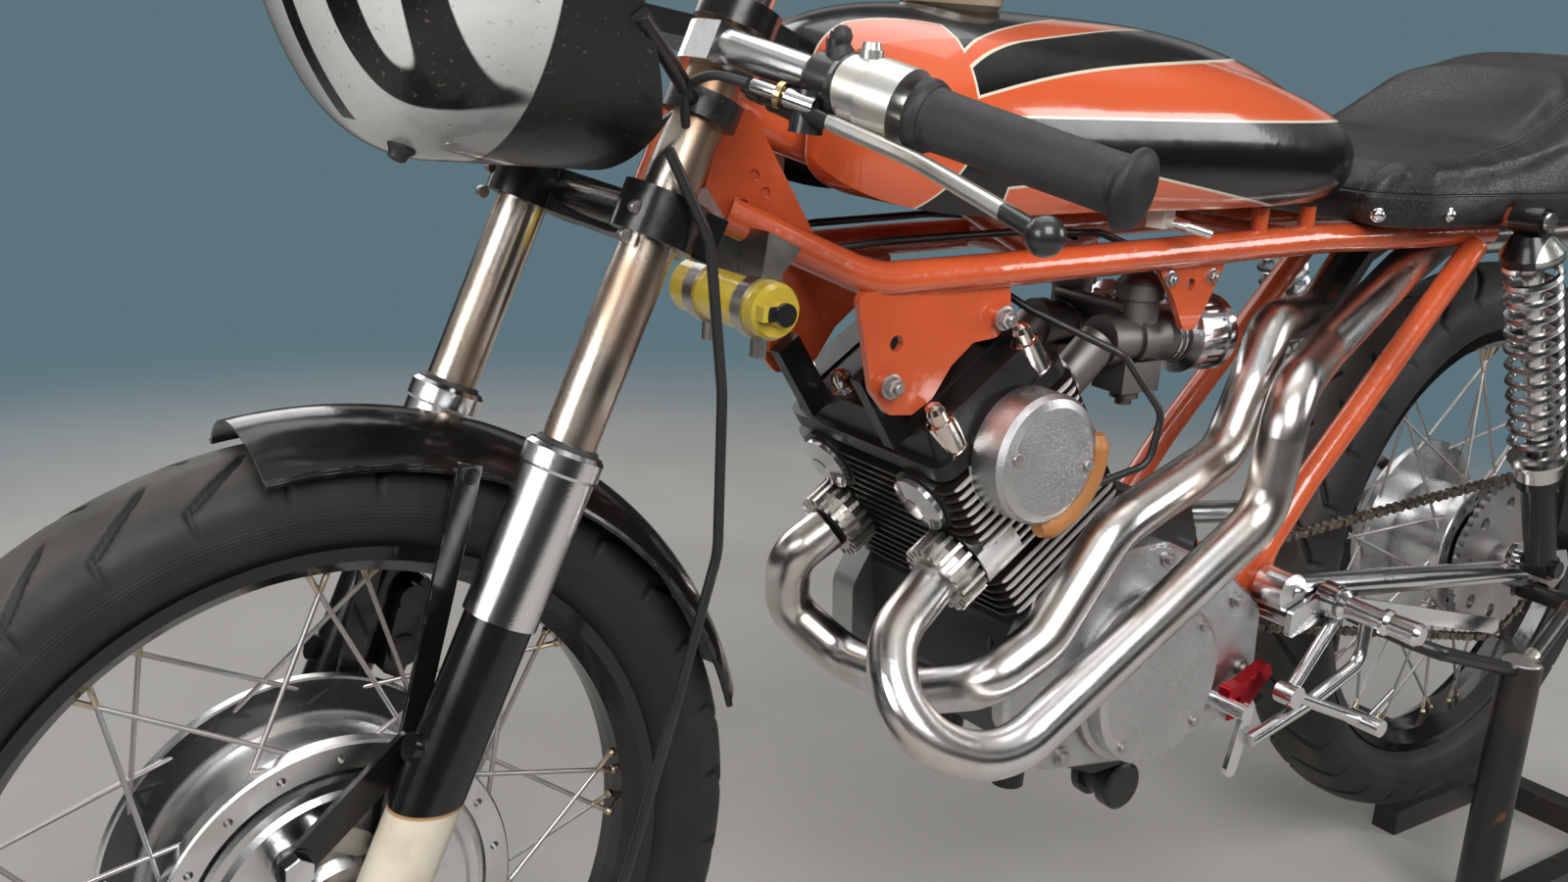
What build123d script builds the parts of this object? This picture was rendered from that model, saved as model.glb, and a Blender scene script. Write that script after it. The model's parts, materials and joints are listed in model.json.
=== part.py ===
# Cafe racer motorcycle on its paddock stand. Millimetres, +X forward, +Y to the rider's left, +Z up.
# The origin is on the floor under the rear axle, on the sole of the stand's middle rail.

from math import acos, atan2, cos, degrees, hypot, pi, radians, sin, tan
import os

from build123d import *

# Chassis layout
WHEELBASE = 1280
REAR_AXLE_Z = 357
FRONT_AXLE_Z = 305
RAKE = 22.5
YOKE_OFFSET = 50
YOKE_DROP = YOKE_OFFSET * sin(radians(RAKE))
RAIL_Y = 70
RAIL_R = 13
RAIL_Z = 716
HEAD_TUBE_R = 22
HEAD_LOW_Z, HEAD_HIGH_Z = 753, 838
PIVOT_X, PIVOT_Z = 450, 412
LOOP_Y = 84
SWINGARM_Y = 112
SHOCK_Y = 142

# Steering and fork
FORK_Y = 85
LOWER_YOKE_Z, UPPER_YOKE_Z = 752, 872
STANCHION_R = 17.5
STANCHION_TOP_Z = 892
SLEEVE_R = STANCHION_R + 6.5
SLEEVE_TOP_Z, SLEEVE_BOTTOM_Z = 612, 508
LEG_R = STANCHION_R + 4.5
STEM_R = 12
CLIP_ON_Z = 849
BAR_R = 11

# Wheels
RIM_R = 241
RIM_HALF_WIDTH = 27
RIM_LIP = 3.6
BEAD_R = RIM_R - 5
RIM_WELL_R = RIM_R - 19
FRONT_TYRE_R, FRONT_TYRE_HALF_WIDTH = RIM_R + 64, 40
REAR_TYRE_R, REAR_TYRE_HALF_WIDTH = RIM_R + 69, 42
TYRE_WALL = 8
SPOKES = 36
SPOKE_R = 1.7
AXLE_R = 10
HUB_BORE_R = AXLE_R + 0.05
GUARD_GAP = 18
GUARD_HALF_WIDTH = 51

# Chain drive
CHAIN_PITCH = 12.7
CHAIN_Y = 64
REAR_SPROCKET_TEETH = 45
GEARBOX_SPROCKET_TEETH = 15
GEARBOX_SPROCKET_X, GEARBOX_SPROCKET_Z = 505, 402

# Engine, a twin that leans forward; its own plane has X forward and down, Z along the cylinders
CRANK_X, CRANK_Z = 640, 388
CYLINDER_LEAN = 35
BLOCK_F = 4
FIN_HALF_LENGTH, FIN_HALF_WIDTH = 72, 98
FIN_PITCH = 8.6
FIN_THICKNESS = 2.6
FIN_CORNER_R = 16
CYLINDER_FOOT = 104
HEAD_FOOT = 152
COVER_FOOT = 252
COVER_TOP = 292
BARREL_R, BARREL_Y = 50, 40
PORT_Y = 68
COLLAR_D = 168
CAP_D, CAP_Y, CAP_R = 226, 58, 24
CASE_HALF_WIDTH = 90
COVER_Y = 106
ALTERNATOR_R = 70
POINTS_R = 50
CARB_Y, CARB_X, CARB_Z = 38, 598, 634

# Pipes
PIPE_R = 19
PIPE_WALL = 1.5

# Fairing
FAIRING_Z = 927
FAIRING_R = 150
FAIRING_NOSE_X = WHEELBASE + 25
FAIRING_SHOULDER_X = FAIRING_NOSE_X - 95
FAIRING_REAR_X = FAIRING_NOSE_X - 201
FAIRING_WALL = 3
SHOULDER_ARC_R = 70

# Paddock stand
POST_X, POST_Y, POST_R = 130, 178, 20
POST_TOP_Z = 306
STAND_RAIL = 30
STAND_FRONT_X, STAND_REAR_X = 160, -210
# The right post stands further back, behind the wheel
RIGHT_POST_X = -76
CRADLE_Z = REAR_AXLE_Z - 21

SIDES = (1, -1)
LEAN = tan(radians(RAKE))
PARTS = "parts"
os.makedirs(PARTS, exist_ok=True)

ENGINE = Plane(
    origin=(CRANK_X, 0, CRANK_Z),
    x_dir=(cos(radians(CYLINDER_LEAN)), 0, -sin(radians(CYLINDER_LEAN))),
    z_dir=(sin(radians(CYLINDER_LEAN)), 0, cos(radians(CYLINDER_LEAN))),
)


def fork_x(z):
    """X of the fork legs' centre line at height z."""
    return WHEELBASE - (z - FRONT_AXLE_Z) * LEAN


def stem_x(z):
    """X of the steering axis at height z."""
    return fork_x(z) - YOKE_OFFSET / cos(radians(RAKE))


def side(y):
    """Sketch plane seen from the rider's right, with X forward and Y up; its normal is towards -Y."""
    return Plane(origin=(0, y, 0), x_dir=(1, 0, 0), z_dir=(0, -1, 0))


def across_fork(z, y=0):
    """Plane square to the steering axis, centred on the fork legs' line at height z."""
    return Plane(
        origin=(fork_x(z), y, z),
        x_dir=(cos(radians(RAKE)), 0, sin(radians(RAKE))),
        z_dir=(-sin(radians(RAKE)), 0, cos(radians(RAKE))),
    )


def slab(points, y_low, y_high, corner=0, holes=()):
    """Plate with a side outline between two values of Y; each hole is an X, a Z and a radius."""
    with BuildSketch(side(y_high)) as outline:
        Polygon(*points, align=None)
        if corner:
            fillet(outline.vertices(), corner)
        for x, z, radius in holes:
            with Locations((x, z)):
                Circle(radius, mode=Mode.SUBTRACT)
    extrude(outline.sketch, amount=y_high - y_low)


def strap(start, end, width, y_low, y_high):
    """Flat bar with round ends between two (X, Z) points."""
    (x0, z0), (x1, z1) = start, end
    with BuildSketch(side(y_high)) as outline:
        with Locations(((x0 + x1) / 2, (z0 + z1) / 2)):
            SlotCenterToCenter(hypot(x1 - x0, z1 - z0), width, rotation=degrees(atan2(z1 - z0, x1 - x0)))
    extrude(outline.sketch, amount=y_high - y_low)


def rod(start, end, radius, mode=Mode.ADD):
    """Round bar between two points."""
    direction = Vector(*end) - Vector(*start)
    with BuildSketch(Plane(origin=start, z_dir=direction)) as section:
        Circle(radius)
    extrude(section.sketch, amount=direction.length, mode=mode)


def turned(start, end, rows, mode=Mode.ADD):
    """Piece turned about the line from start towards end; each row is a distance from start and a radius."""
    run = (Vector(*end) - Vector(*start)).normalized()
    aside = Vector(1, 0, 0) if abs(run.Z) > 0.9 else Vector(0, 0, 1)
    with BuildSketch(Plane(origin=start, x_dir=run, z_dir=run.cross(aside))) as half:
        Polygon((rows[0][0], 0), *rows, (rows[-1][0], 0), align=None)
    revolve(half.sketch, axis=Axis(start, run), mode=mode)


def bent(points, radius, bend, bore=0):
    """Round bar or tube through points; bend is one radius for every corner, or a list of them."""
    with BuildLine() as route:
        FilletPolyline(*points, radius=bend)
    with BuildSketch(Plane(origin=points[0], z_dir=route.line % 0)) as section:
        Circle(radius)
        if bore:
            Circle(bore, mode=Mode.SUBTRACT)
    sweep(section.sketch, path=route.line)


def export(body, name):
    body.label = name
    export_step(body, f"{PARTS}/{name}.step")


# Wheels: each row gives a name, the axle's X and Z, the tyre's radius and half width
WHEELS = (
    ("front", WHEELBASE, FRONT_AXLE_Z, FRONT_TYRE_R, FRONT_TYRE_HALF_WIDTH),
    ("rear", 0, REAR_AXLE_Z, REAR_TYRE_R, REAR_TYRE_HALF_WIDTH),
)
# Hub flanges: Y and radius of the left and the right one
HUB_FLANGES = {"front": ((33, 118), (-38, 132)), "rear": ((34, 76), (-38, 104))}
# Tyre outline from bead to crown: share of the half width, share of the height above the rim
TYRE_OUTLINE = ((0.84, 0.14), (1.0, 0.46), (0.94, 0.7), (0.66, 0.9), (0.3, 0.985))
# Rim outline from the middle of the well outwards: share of the half width, depth below the rim's edge
RIM_INSIDE = ((0, 16), (0.33, 16), (0.44, 9), (0.86, 5.3), (0.86, 0))
RIM_OUTSIDE = ((1, 0), (1, 9), (0.5, 19.5), (0, 20))
FLANGE_HALF = 4
HOLE_INSET = 10

for name, axle_x, axle_z, tyre_r, half_width in WHEELS:
    axle = Axis((axle_x, 0, axle_z), (0, 1, 0))
    plane = Plane(origin=(axle_x, 0, axle_z), x_dir=(0, 1, 0), z_dir=(1, 0, 0))

    with BuildPart() as tyre:
        height = tyre_r - RIM_R
        bead_y = RIM_HALF_WIDTH - RIM_LIP - 0.2
        outer = [(share * half_width, RIM_R + rise * height) for share, rise in TYRE_OUTLINE]
        inner = [
            (bead_y - TYRE_WALL, BEAD_R),
            (half_width - TYRE_WALL, RIM_R + 0.46 * height),
            (0.6 * half_width, tyre_r - 2 * TYRE_WALL),
        ]
        right_half = [(bead_y, BEAD_R), (bead_y, RIM_R + 1), *outer]
        left_half = [(-y, r) for y, r in reversed(right_half)]
        with BuildSketch(plane) as section:
            Polygon(
                *right_half, (0.04 * half_width, tyre_r), (-0.04 * half_width, tyre_r), *left_half,
                *[(-y, r) for y, r in inner], *reversed(inner), align=None,
            )
        revolve(section.sketch, axis=axle)
    export(tyre.part, f"{name}_tyre")

    with BuildPart() as rim:
        inside = [(share * RIM_HALF_WIDTH, RIM_R - depth) for share, depth in RIM_INSIDE]
        outside = [(share * RIM_HALF_WIDTH, RIM_R - depth) for share, depth in RIM_OUTSIDE]
        half = inside + outside
        with BuildSketch(plane) as section:
            Polygon(*half, *[(-y, r) for y, r in reversed(half)][1:-1], align=None)
        revolve(section.sketch, axis=axle)
    export(rim.part, f"{name}_rim")

    (left_y, left_r), (right_y, right_r) = HUB_FLANGES[name]
    drum_r = left_r - 14
    with BuildPart() as hub:
        with BuildSketch(plane) as section:
            Polygon(
                (left_y + FLANGE_HALF, HUB_BORE_R),
                (left_y + FLANGE_HALF, left_r - 17),
                (left_y + FLANGE_HALF + 3, left_r - 17.5),
                (left_y + FLANGE_HALF + 3, left_r - 1.5),
                (left_y + FLANGE_HALF + 1.5, left_r),
                (left_y - FLANGE_HALF, left_r),
                (left_y - 10, drum_r),
                (right_y + 10, drum_r),
                (right_y + FLANGE_HALF, right_r),
                (right_y - FLANGE_HALF + 1.5, right_r),
                (right_y - FLANGE_HALF, right_r - 1.5),
                (right_y - FLANGE_HALF, HUB_BORE_R),
                align=None,
            )
        revolve(section.sketch, axis=axle)
        for face_y, hole_r, out in (
            (left_y + FLANGE_HALF + 3, left_r - HOLE_INSET, -1),
            (right_y - FLANGE_HALF, right_r - HOLE_INSET, 1),
        ):
            with BuildSketch(Plane(origin=(axle_x, face_y, axle_z), z_dir=(0, out, 0))) as holes:
                with PolarLocations(hole_r, SPOKES // 2):
                    Circle(3)
            extrude(holes.sketch, amount=3, mode=Mode.SUBTRACT)
    export(hub.part, f"{name}_hub")

    with BuildPart() as spokes:
        for flange_y, flange_r, phase in ((left_y, left_r, 0), (right_y, right_r, 0.5)):
            foot_y = flange_y - 3.5 if flange_y > 0 else flange_y + 3.5
            foot_r = flange_r - 7
            for i in range(SPOKES // 2):
                turn = 2 * pi * (i + phase) / (SPOKES // 2)
                tip_turn = turn + radians(32 if i % 2 else -32)
                tip_r = RIM_WELL_R - 0.5
                foot = (axle_x + foot_r * cos(turn), foot_y, axle_z + foot_r * sin(turn))
                tip = (axle_x + tip_r * cos(tip_turn), foot_y * 0.12, axle_z + tip_r * sin(tip_turn))
                rod(foot, tip, SPOKE_R)
    export(spokes.part, f"{name}_spokes")

# Steering: yokes, legs, bars, fairing and mudguard turn together about the stem.
# Each yoke has its height, thickness, clamp radius and the width of the web at the stem.
YOKES = ((LOWER_YOKE_Z, 30, 27, 17), (UPPER_YOKE_Z, 16, 26, 22))
CLAMP_LUG = (24, 9)
with BuildPart() as yokes:
    for height, thick, clamp_r, web_half in YOKES:
        plane = across_fork(height).offset(-thick / 2)
        with BuildSketch(plane) as web:
            Polygon(
                (-YOKE_OFFSET - 20, -web_half),
                (-26, -FORK_Y - 4),
                (6, -FORK_Y - 4),
                (-22, 0),
                (6, FORK_Y + 4),
                (-26, FORK_Y + 4),
                (-YOKE_OFFSET - 20, web_half),
                align=None,
            )
            with Locations((-YOKE_OFFSET, 0)):
                Circle(25)
            for s in SIDES:
                with Locations((0, s * FORK_Y)):
                    Circle(clamp_r)
                with Locations((-clamp_r - 4, s * FORK_Y)):
                    Rectangle(CLAMP_LUG[0], 2 * CLAMP_LUG[1])
            for s in SIDES:
                with Locations((0, s * FORK_Y)):
                    Circle(STANCHION_R, mode=Mode.SUBTRACT)
                with Locations((-clamp_r - 8, s * FORK_Y)):
                    Rectangle(20, 2, mode=Mode.SUBTRACT)
        extrude(web.sketch, amount=thick)
    cross = across_fork(LOWER_YOKE_Z)
    rod(
        tuple(cross.from_local_coords((-14, -FORK_Y + 24, 0))),
        tuple(cross.from_local_coords((-14, FORK_Y - 24, 0))),
        11,
    )
    low, high = LOWER_YOKE_Z - YOKE_DROP - 12, UPPER_YOKE_Z - YOKE_DROP + 6
    rod((stem_x(low), 0, low), (stem_x(high), 0, high), STEM_R)
    turned(
        (stem_x(high), 0, high), (stem_x(high + 30), 0, high + 30),
        ((0, 20), (12, 20), (12, 17), (24, 17), (27, 13)),
    )
export(yokes.part, "fork_yokes")

with BuildPart() as stanchions:
    for s in SIDES:
        y = s * FORK_Y
        low, high = SLEEVE_BOTTOM_Z, STANCHION_TOP_Z
        rod((fork_x(low), y, low), (fork_x(high), y, high), STANCHION_R)
        length = 12
        turned(
            (fork_x(high), y, high),
            (fork_x(high + length), y, high + length),
            ((0, STANCHION_R), (2, STANCHION_R + 2), (7, STANCHION_R + 2), (7, 11), (length, 10)),
        )
export(stanchions.part, "fork_stanchions")

# Sleeve outline from its foot: height along the leg, radius
SLEEVE_RUN = (SLEEVE_TOP_Z - SLEEVE_BOTTOM_Z) / cos(radians(RAKE))
SLEEVE_ROWS = (
    (0, SLEEVE_R),
    (SLEEVE_RUN - 16, SLEEVE_R),
    (SLEEVE_RUN - 14, SLEEVE_R + 1.4),
    (SLEEVE_RUN - 3, SLEEVE_R + 1.4),
    (SLEEVE_RUN, SLEEVE_R - 1),
)
with BuildPart() as sleeves:
    for s in SIDES:
        y = s * FORK_Y
        low, high = SLEEVE_BOTTOM_Z, SLEEVE_TOP_Z
        turned((fork_x(low), y, low), (fork_x(high), y, high), SLEEVE_ROWS)
        rod((fork_x(low), y, low), (fork_x(high), y, high), STANCHION_R, mode=Mode.SUBTRACT)
export(sleeves.part, "fork_sleeves")

# Lower leg outline from the sleeve downwards: distance, radius
LEG_RUN = (SLEEVE_BOTTOM_Z - FRONT_AXLE_Z) / cos(radians(RAKE))
LEG_ROWS = (
    (0, LEG_R),
    (LEG_RUN - 34, LEG_R),
    (LEG_RUN - 16, LEG_R - 3),
    (LEG_RUN + 16, LEG_R - 3),
    (LEG_RUN + 28, LEG_R - 8),
)
with BuildPart() as legs:
    for s in SIDES:
        y = s * FORK_Y
        low, high = FRONT_AXLE_Z, SLEEVE_BOTTOM_Z
        turned((fork_x(high), y, high), (fork_x(low), y, low), LEG_ROWS)
        rod((WHEELBASE, y - LEG_R, FRONT_AXLE_Z), (WHEELBASE, y + LEG_R, FRONT_AXLE_Z), LEG_R - 1)
        rod((WHEELBASE - 24, y - 9, FRONT_AXLE_Z - 16), (WHEELBASE - 24, y + 9, FRONT_AXLE_Z - 16), 8)
        rod((fork_x(430) + 12, y, 430), (fork_x(430) + 26, y, 436), 9)
    lug = fork_x(440)
    slab(
        ((lug - 22, 466), (lug - 44, 488), (lug - 48, 466), (lug - 24, 412), (lug - 10, 420)),
        7 - FORK_Y - 22, 7 - FORK_Y + 22, 3,
    )
    for x, z in ((lug - 33, 470), (lug - 26, 434)):
        rod((x, 24 - FORK_Y, z), (x, 32 - FORK_Y, z), 11)
    rod(
        (WHEELBASE, -FORK_Y - LEG_R - 5, FRONT_AXLE_Z),
        (WHEELBASE, FORK_Y + LEG_R + 5, FRONT_AXLE_Z),
        AXLE_R,
        mode=Mode.SUBTRACT,
    )
export(legs.part, "fork_legs")

# Left handlebar: a line outwards, back and down from the clamp; on_bar gives points along it
BAR_INNER = (fork_x(856) + 15, 106, 856)
BAR_SPREAD, BAR_SWEEP, BAR_DROP = 278, 83, 56
GRIP_START, GRIP_END = 240, 374


def on_bar(y, s=1, ahead=0, above=0):
    """Point on the clip-on's centre line at a distance y from the middle plane, or beside it."""
    share = (y - BAR_INNER[1]) / BAR_SPREAD
    return (BAR_INNER[0] - share * BAR_SWEEP + ahead, s * y, BAR_INNER[2] - share * BAR_DROP + above)


with BuildPart() as clip_ons:
    for s in SIDES:
        rod(on_bar(BAR_INNER[1], s), on_bar(GRIP_END - 4, s), BAR_R)
        plane = across_fork(CLIP_ON_Z, s * FORK_Y).offset(-12)
        with BuildSketch(plane) as clamp:
            Circle(26)
            with Locations((14, s * 14)):
                Rectangle(26, 26)
            with Locations((-30, -s * 4)):
                Rectangle(18, 16)
            Circle(STANCHION_R, mode=Mode.SUBTRACT)
            with Locations((-30, -s * 4)):
                Rectangle(26, 2, mode=Mode.SUBTRACT)
        extrude(clamp.sketch, amount=24)
export(clip_ons.part, "clip_ons")

# Grip outline along the bar: Y, radius
GRIP_ROWS = ((0, 20), (4, 21), (9, 19), (16, 17), (120, 16.2), (128, 18), (131, 22), (134, 22))
with BuildPart() as grips:
    for s in SIDES:
        start = on_bar(GRIP_START, s)
        turned(start, on_bar(GRIP_END, s), GRIP_ROWS)
        rod(on_bar(GRIP_START - 2, s), on_bar(GRIP_END - 4, s), BAR_R, mode=Mode.SUBTRACT)
export(grips.part, "grips")

# Lever housing along the bar: distance, radius
HOUSING_ROWS = ((0, 14), (3, 16), (20, 16), (20, 19), (24, 21), (44, 21), (44, 23), (67, 23))
with BuildPart() as levers:
    for s in SIDES:
        turned(on_bar(170, s), on_bar(GRIP_START, s), HOUSING_ROWS)
        pivot = on_bar(178, s, 12.5, -17.5)
        rod(on_bar(180, s), pivot, 9)
        turned(
            on_bar(130, s, 8, -17), pivot,
            ((0, 4), (6, 4), (6, 6.5), (16, 6.5), (16, 5), (24, 5), (24, 8), (34, 8), (50, 9)),
        )
        rod(on_bar(178, s, 10.5, -5.5), on_bar(178, s, 12.5, -29.5), 10)
        reach = on_bar(262, s, 23.6, -18.6)
        tip = on_bar(366, s, 60.5, -21)
        with BuildLine() as route:
            FilletPolyline(pivot, reach, tip, radius=120)
        with BuildSketch(Plane(origin=pivot, x_dir=(1, 0, 0.3), z_dir=route.line % 0)) as blade:
            RectangleRounded(17, 9, 3.5)
        sweep(blade.sketch, path=route.line)
        with Locations(tip):
            Sphere(10.5)
        for y in (184, 206):
            turned(on_bar(y, s, 0, 12), on_bar(y, s, 0, 30), ((0, 7), (13, 7), (13, 5.5), (17, 5)))
        rod(on_bar(160, s), on_bar(GRIP_START + 4, s), BAR_R, mode=Mode.SUBTRACT)
export(levers.part, "control_levers")

# The bowl's nose is a spherical cap that runs into a tighter arc at the shoulder
BOWL_DEPTH = FAIRING_NOSE_X - FAIRING_SHOULDER_X
SHOULDER_RISE = FAIRING_R - SHOULDER_ARC_R
CAP_ARC_R = (BOWL_DEPTH**2 + SHOULDER_RISE**2 - SHOULDER_ARC_R**2) / (2 * (BOWL_DEPTH - SHOULDER_ARC_R))
CAP_ANGLE = degrees(atan2(SHOULDER_RISE, CAP_ARC_R - BOWL_DEPTH))
# Cut that shapes the bowl's side edge and its lobe: distance behind the nose, height
BOWL_CUT = ((205, 822), (197, 812), (145, 900), (56, 1085), (56, 1100), (245, 1100), (245, 822))
STAY_Z = 818
with BuildPart() as fairing:
    for wall, mode in ((0, Mode.ADD), (FAIRING_WALL, Mode.SUBTRACT)):
        top = FAIRING_Z + FAIRING_R - wall
        with BuildSketch(side(0)) as section:
            with BuildLine():
                cap_arc = CenterArc((FAIRING_NOSE_X - CAP_ARC_R, FAIRING_Z), CAP_ARC_R - wall, 0, CAP_ANGLE)
                CenterArc(
                    (FAIRING_SHOULDER_X, FAIRING_Z + SHOULDER_RISE),
                    SHOULDER_ARC_R - wall,
                    CAP_ANGLE,
                    90 - CAP_ANGLE,
                )
                Polyline(
                    (FAIRING_SHOULDER_X, top),
                    (FAIRING_REAR_X - wall, top + 6),
                    (FAIRING_REAR_X - wall, FAIRING_Z),
                    cap_arc @ 0,
                )
            make_face()
        revolve(section.sketch, axis=Axis((0, 0, FAIRING_Z), (1, 0, 0)), mode=mode)
    with BuildSketch(side(FAIRING_R + 50)) as cut:
        Polygon(*[(FAIRING_NOSE_X - back, z) for back, z in BOWL_CUT], align=None)
    extrude(cut.sketch, amount=2 * FAIRING_R + 100, mode=Mode.SUBTRACT)
    for s in SIDES:
        plane = across_fork(STAY_Z, s * FORK_Y).offset(-8)
        with BuildSketch(plane) as clamp:
            Circle(24)
            Circle(STANCHION_R, mode=Mode.SUBTRACT)
        extrude(clamp.sketch, amount=16)
        rod(
            (fork_x(STAY_Z) + 16, s * (FORK_Y + 13), STAY_Z + 6),
            (FAIRING_REAR_X + 46, s * (FAIRING_R - 5), STAY_Z + 54),
            5,
        )
export(fairing.part, "fairing")

GUARD_CROWN_R, GUARD_EDGE_R = FRONT_TYRE_R + GUARD_GAP, FRONT_TYRE_R - 7
GUARD_START, GUARD_END = 81, 163
GUARD_SKIN, GUARD_BEAD_R = 2, 2.4
# Stay outline from the axle: distance behind it, height; its bolts also have a radius and an outer Y
GUARD_STAY = ((86, GUARD_EDGE_R - 6), (70, GUARD_EDGE_R - 2), (17, 47), (31, 43))
STAY_BOLTS = ((24, 47, 8, FORK_Y - 15), (77, GUARD_EDGE_R - 11, 6, GUARD_HALF_WIDTH + 7))
with BuildPart() as mudguard:
    plane = Plane(origin=(WHEELBASE, 0, FRONT_AXLE_Z), x_dir=(0, 1, 0), z_dir=(1, 0, 0))
    axle = Axis((WHEELBASE, 0, FRONT_AXLE_Z), (0, -1, 0))
    edge, inner_r = GUARD_HALF_WIDTH - GUARD_SKIN, GUARD_EDGE_R - 1.4
    with BuildSketch(plane) as section:
        with BuildLine():
            ThreePointArc(
                (-GUARD_HALF_WIDTH, GUARD_EDGE_R), (0, GUARD_CROWN_R), (GUARD_HALF_WIDTH, GUARD_EDGE_R)
            )
            Line((GUARD_HALF_WIDTH, GUARD_EDGE_R), (edge, inner_r))
            ThreePointArc((edge, inner_r), (0, GUARD_CROWN_R - GUARD_SKIN), (-edge, inner_r))
            Line((-edge, inner_r), (-GUARD_HALF_WIDTH, GUARD_EDGE_R))
        make_face()
        for s in SIDES:
            with Locations((s * GUARD_HALF_WIDTH, GUARD_EDGE_R)):
                RegularPolygon(GUARD_BEAD_R, 6)
    turned_section = section.sketch.rotate(axle, GUARD_START - 90)
    revolve(turned_section, axis=axle, revolution_arc=GUARD_END - GUARD_START)
    axle_x, axle_z = WHEELBASE, FRONT_AXLE_Z
    for s in SIDES:
        foot_y = s * (GUARD_HALF_WIDTH + 2)
        stay = [(axle_x - back, axle_z + rise) for back, rise in GUARD_STAY]
        slab(stay, foot_y - 2, foot_y + 2, 2)
        for back, rise, radius, far_y in STAY_BOLTS:
            near = (axle_x - back, s * (GUARD_HALF_WIDTH - 1), axle_z + rise)
            rod(near, (axle_x - back, s * far_y, axle_z + rise), radius)
    add(legs.part, mode=Mode.SUBTRACT)
    add(sleeves.part, mode=Mode.SUBTRACT)
export(mudguard.part, "front_mudguard")

# Brake plate from the hub's mouth outwards: distance from the middle plane, radius
PLATE_ROWS = (
    (38.5, 97.5), (41, 97.5), (42, 94), (42, 88), (44.5, 84), (46, 44), (52, 38), (54, 30), (62, 28), (62, 19)
)
TORQUE_FOOT = (36, 53)
TORQUE_TOP_Z = 422
with BuildPart() as front_axle:
    axle_x, axle_z = WHEELBASE, FRONT_AXLE_Z
    nut_y = FORK_Y + LEG_R
    rod((axle_x, -nut_y - 9, axle_z), (axle_x, nut_y + 9, axle_z), AXLE_R)
    for s in SIDES:
        with BuildSketch(Plane(origin=(axle_x, s * (nut_y + 0.5), axle_z), z_dir=(0, s, 0))) as nut:
            RegularPolygon(15, 6)
        extrude(nut.sketch, amount=11)
    turned((axle_x, 0, axle_z), (axle_x, 1, axle_z), PLATE_ROWS)
    rod((axle_x, -62, axle_z), (axle_x, -43, axle_z), 15)
    foot = (axle_x + TORQUE_FOOT[0], axle_z + TORQUE_FOOT[1])
    rod((foot[0], 44, foot[1]), (foot[0], 62, foot[1]), 13)
    with BuildSketch(Plane(origin=(foot[0], 61, foot[1]), z_dir=(0, 1, 0))) as bolt:
        RegularPolygon(10, 6)
    extrude(bolt.sketch, amount=8)
    strap(foot, (fork_x(TORQUE_TOP_Z) + 12, TORQUE_TOP_Z), 20, 56, 61)
    cam = (axle_x - 18, axle_z - 38)
    rod((cam[0], 44, cam[1]), (cam[0], 56, cam[1]), 9)
    strap(cam, (axle_x - 48, axle_z - 66), 14, 50, 55)
    with BuildSketch(side(52)) as slot_cover:
        with Locations((axle_x + 4, axle_z + 60)):
            SlotOverall(46, 17, rotation=28)
    extrude(slot_cover.sketch, amount=10)
    add(legs.part, mode=Mode.SUBTRACT)
export(front_axle.part, "front_axle")

# Front brake cable: distance ahead of the fork line, Y, height
FRONT_CABLE = (
    (35, 120, 796), (-20, 119, 742), (-91, 99, 640), (-141, 97, 532), (-159, 97, 420), (-175, 97, 300),
    (-158, 80, 238), (-80, 58, 236),
)
CABLE_R = 3.5
CABLE_BEND = 60
with BuildPart() as cable:
    bent([(fork_x(z) + ahead, y, z) for ahead, y, z in FRONT_CABLE], CABLE_R, CABLE_BEND)
export(cable.part, "brake_cable")

# Frame: head tube, twin rails, rear loops and the lugs that carry the engine
NECK_X = stem_x(HEAD_LOW_Z)
RAIL = (
    (NECK_X - 40, 18, 742),
    (NECK_X - 135, RAIL_Y - 6, 700),
    (NECK_X - 240, RAIL_Y, 704),
    (420, RAIL_Y, RAIL_Z),
    (150, RAIL_Y, RAIL_Z),
)
REAR_LOOP = (
    (190, LOOP_Y, RAIL_Z - 10),
    (395, LOOP_Y, 498),
    (PIVOT_X - 8, LOOP_Y, PIVOT_Z + 28),
    (PIVOT_X, LOOP_Y, PIVOT_Z),
)
LOOP_R = 12
PIVOT_PLATE = ((426, 386), (500, 332), (516, 344), (512, 440), (434, 452))
# Neck gusset and its dimples: distance behind the neck, height
GUSSET = ((32, 812), (21, 762), (36, 742), (46, 734), (80, 722), (115, 726), (55, 812))
GUSSET_DIMPLES = ((52, 748), (68, 738), (86, 734), (60, 768), (70, 756))
SPINE = ((40, 812), (140, 782), (240, 766), (340, 716))
SHOCK_TOP, SHOCK_FOOT = (205, 738), (62, 384)
SHOCK_LUG = ((-17, RAIL_Z - 4), (17, RAIL_Z - 4), (11, 748), (-11, 748))
TANK_POSTS = (435, 498)

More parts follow.
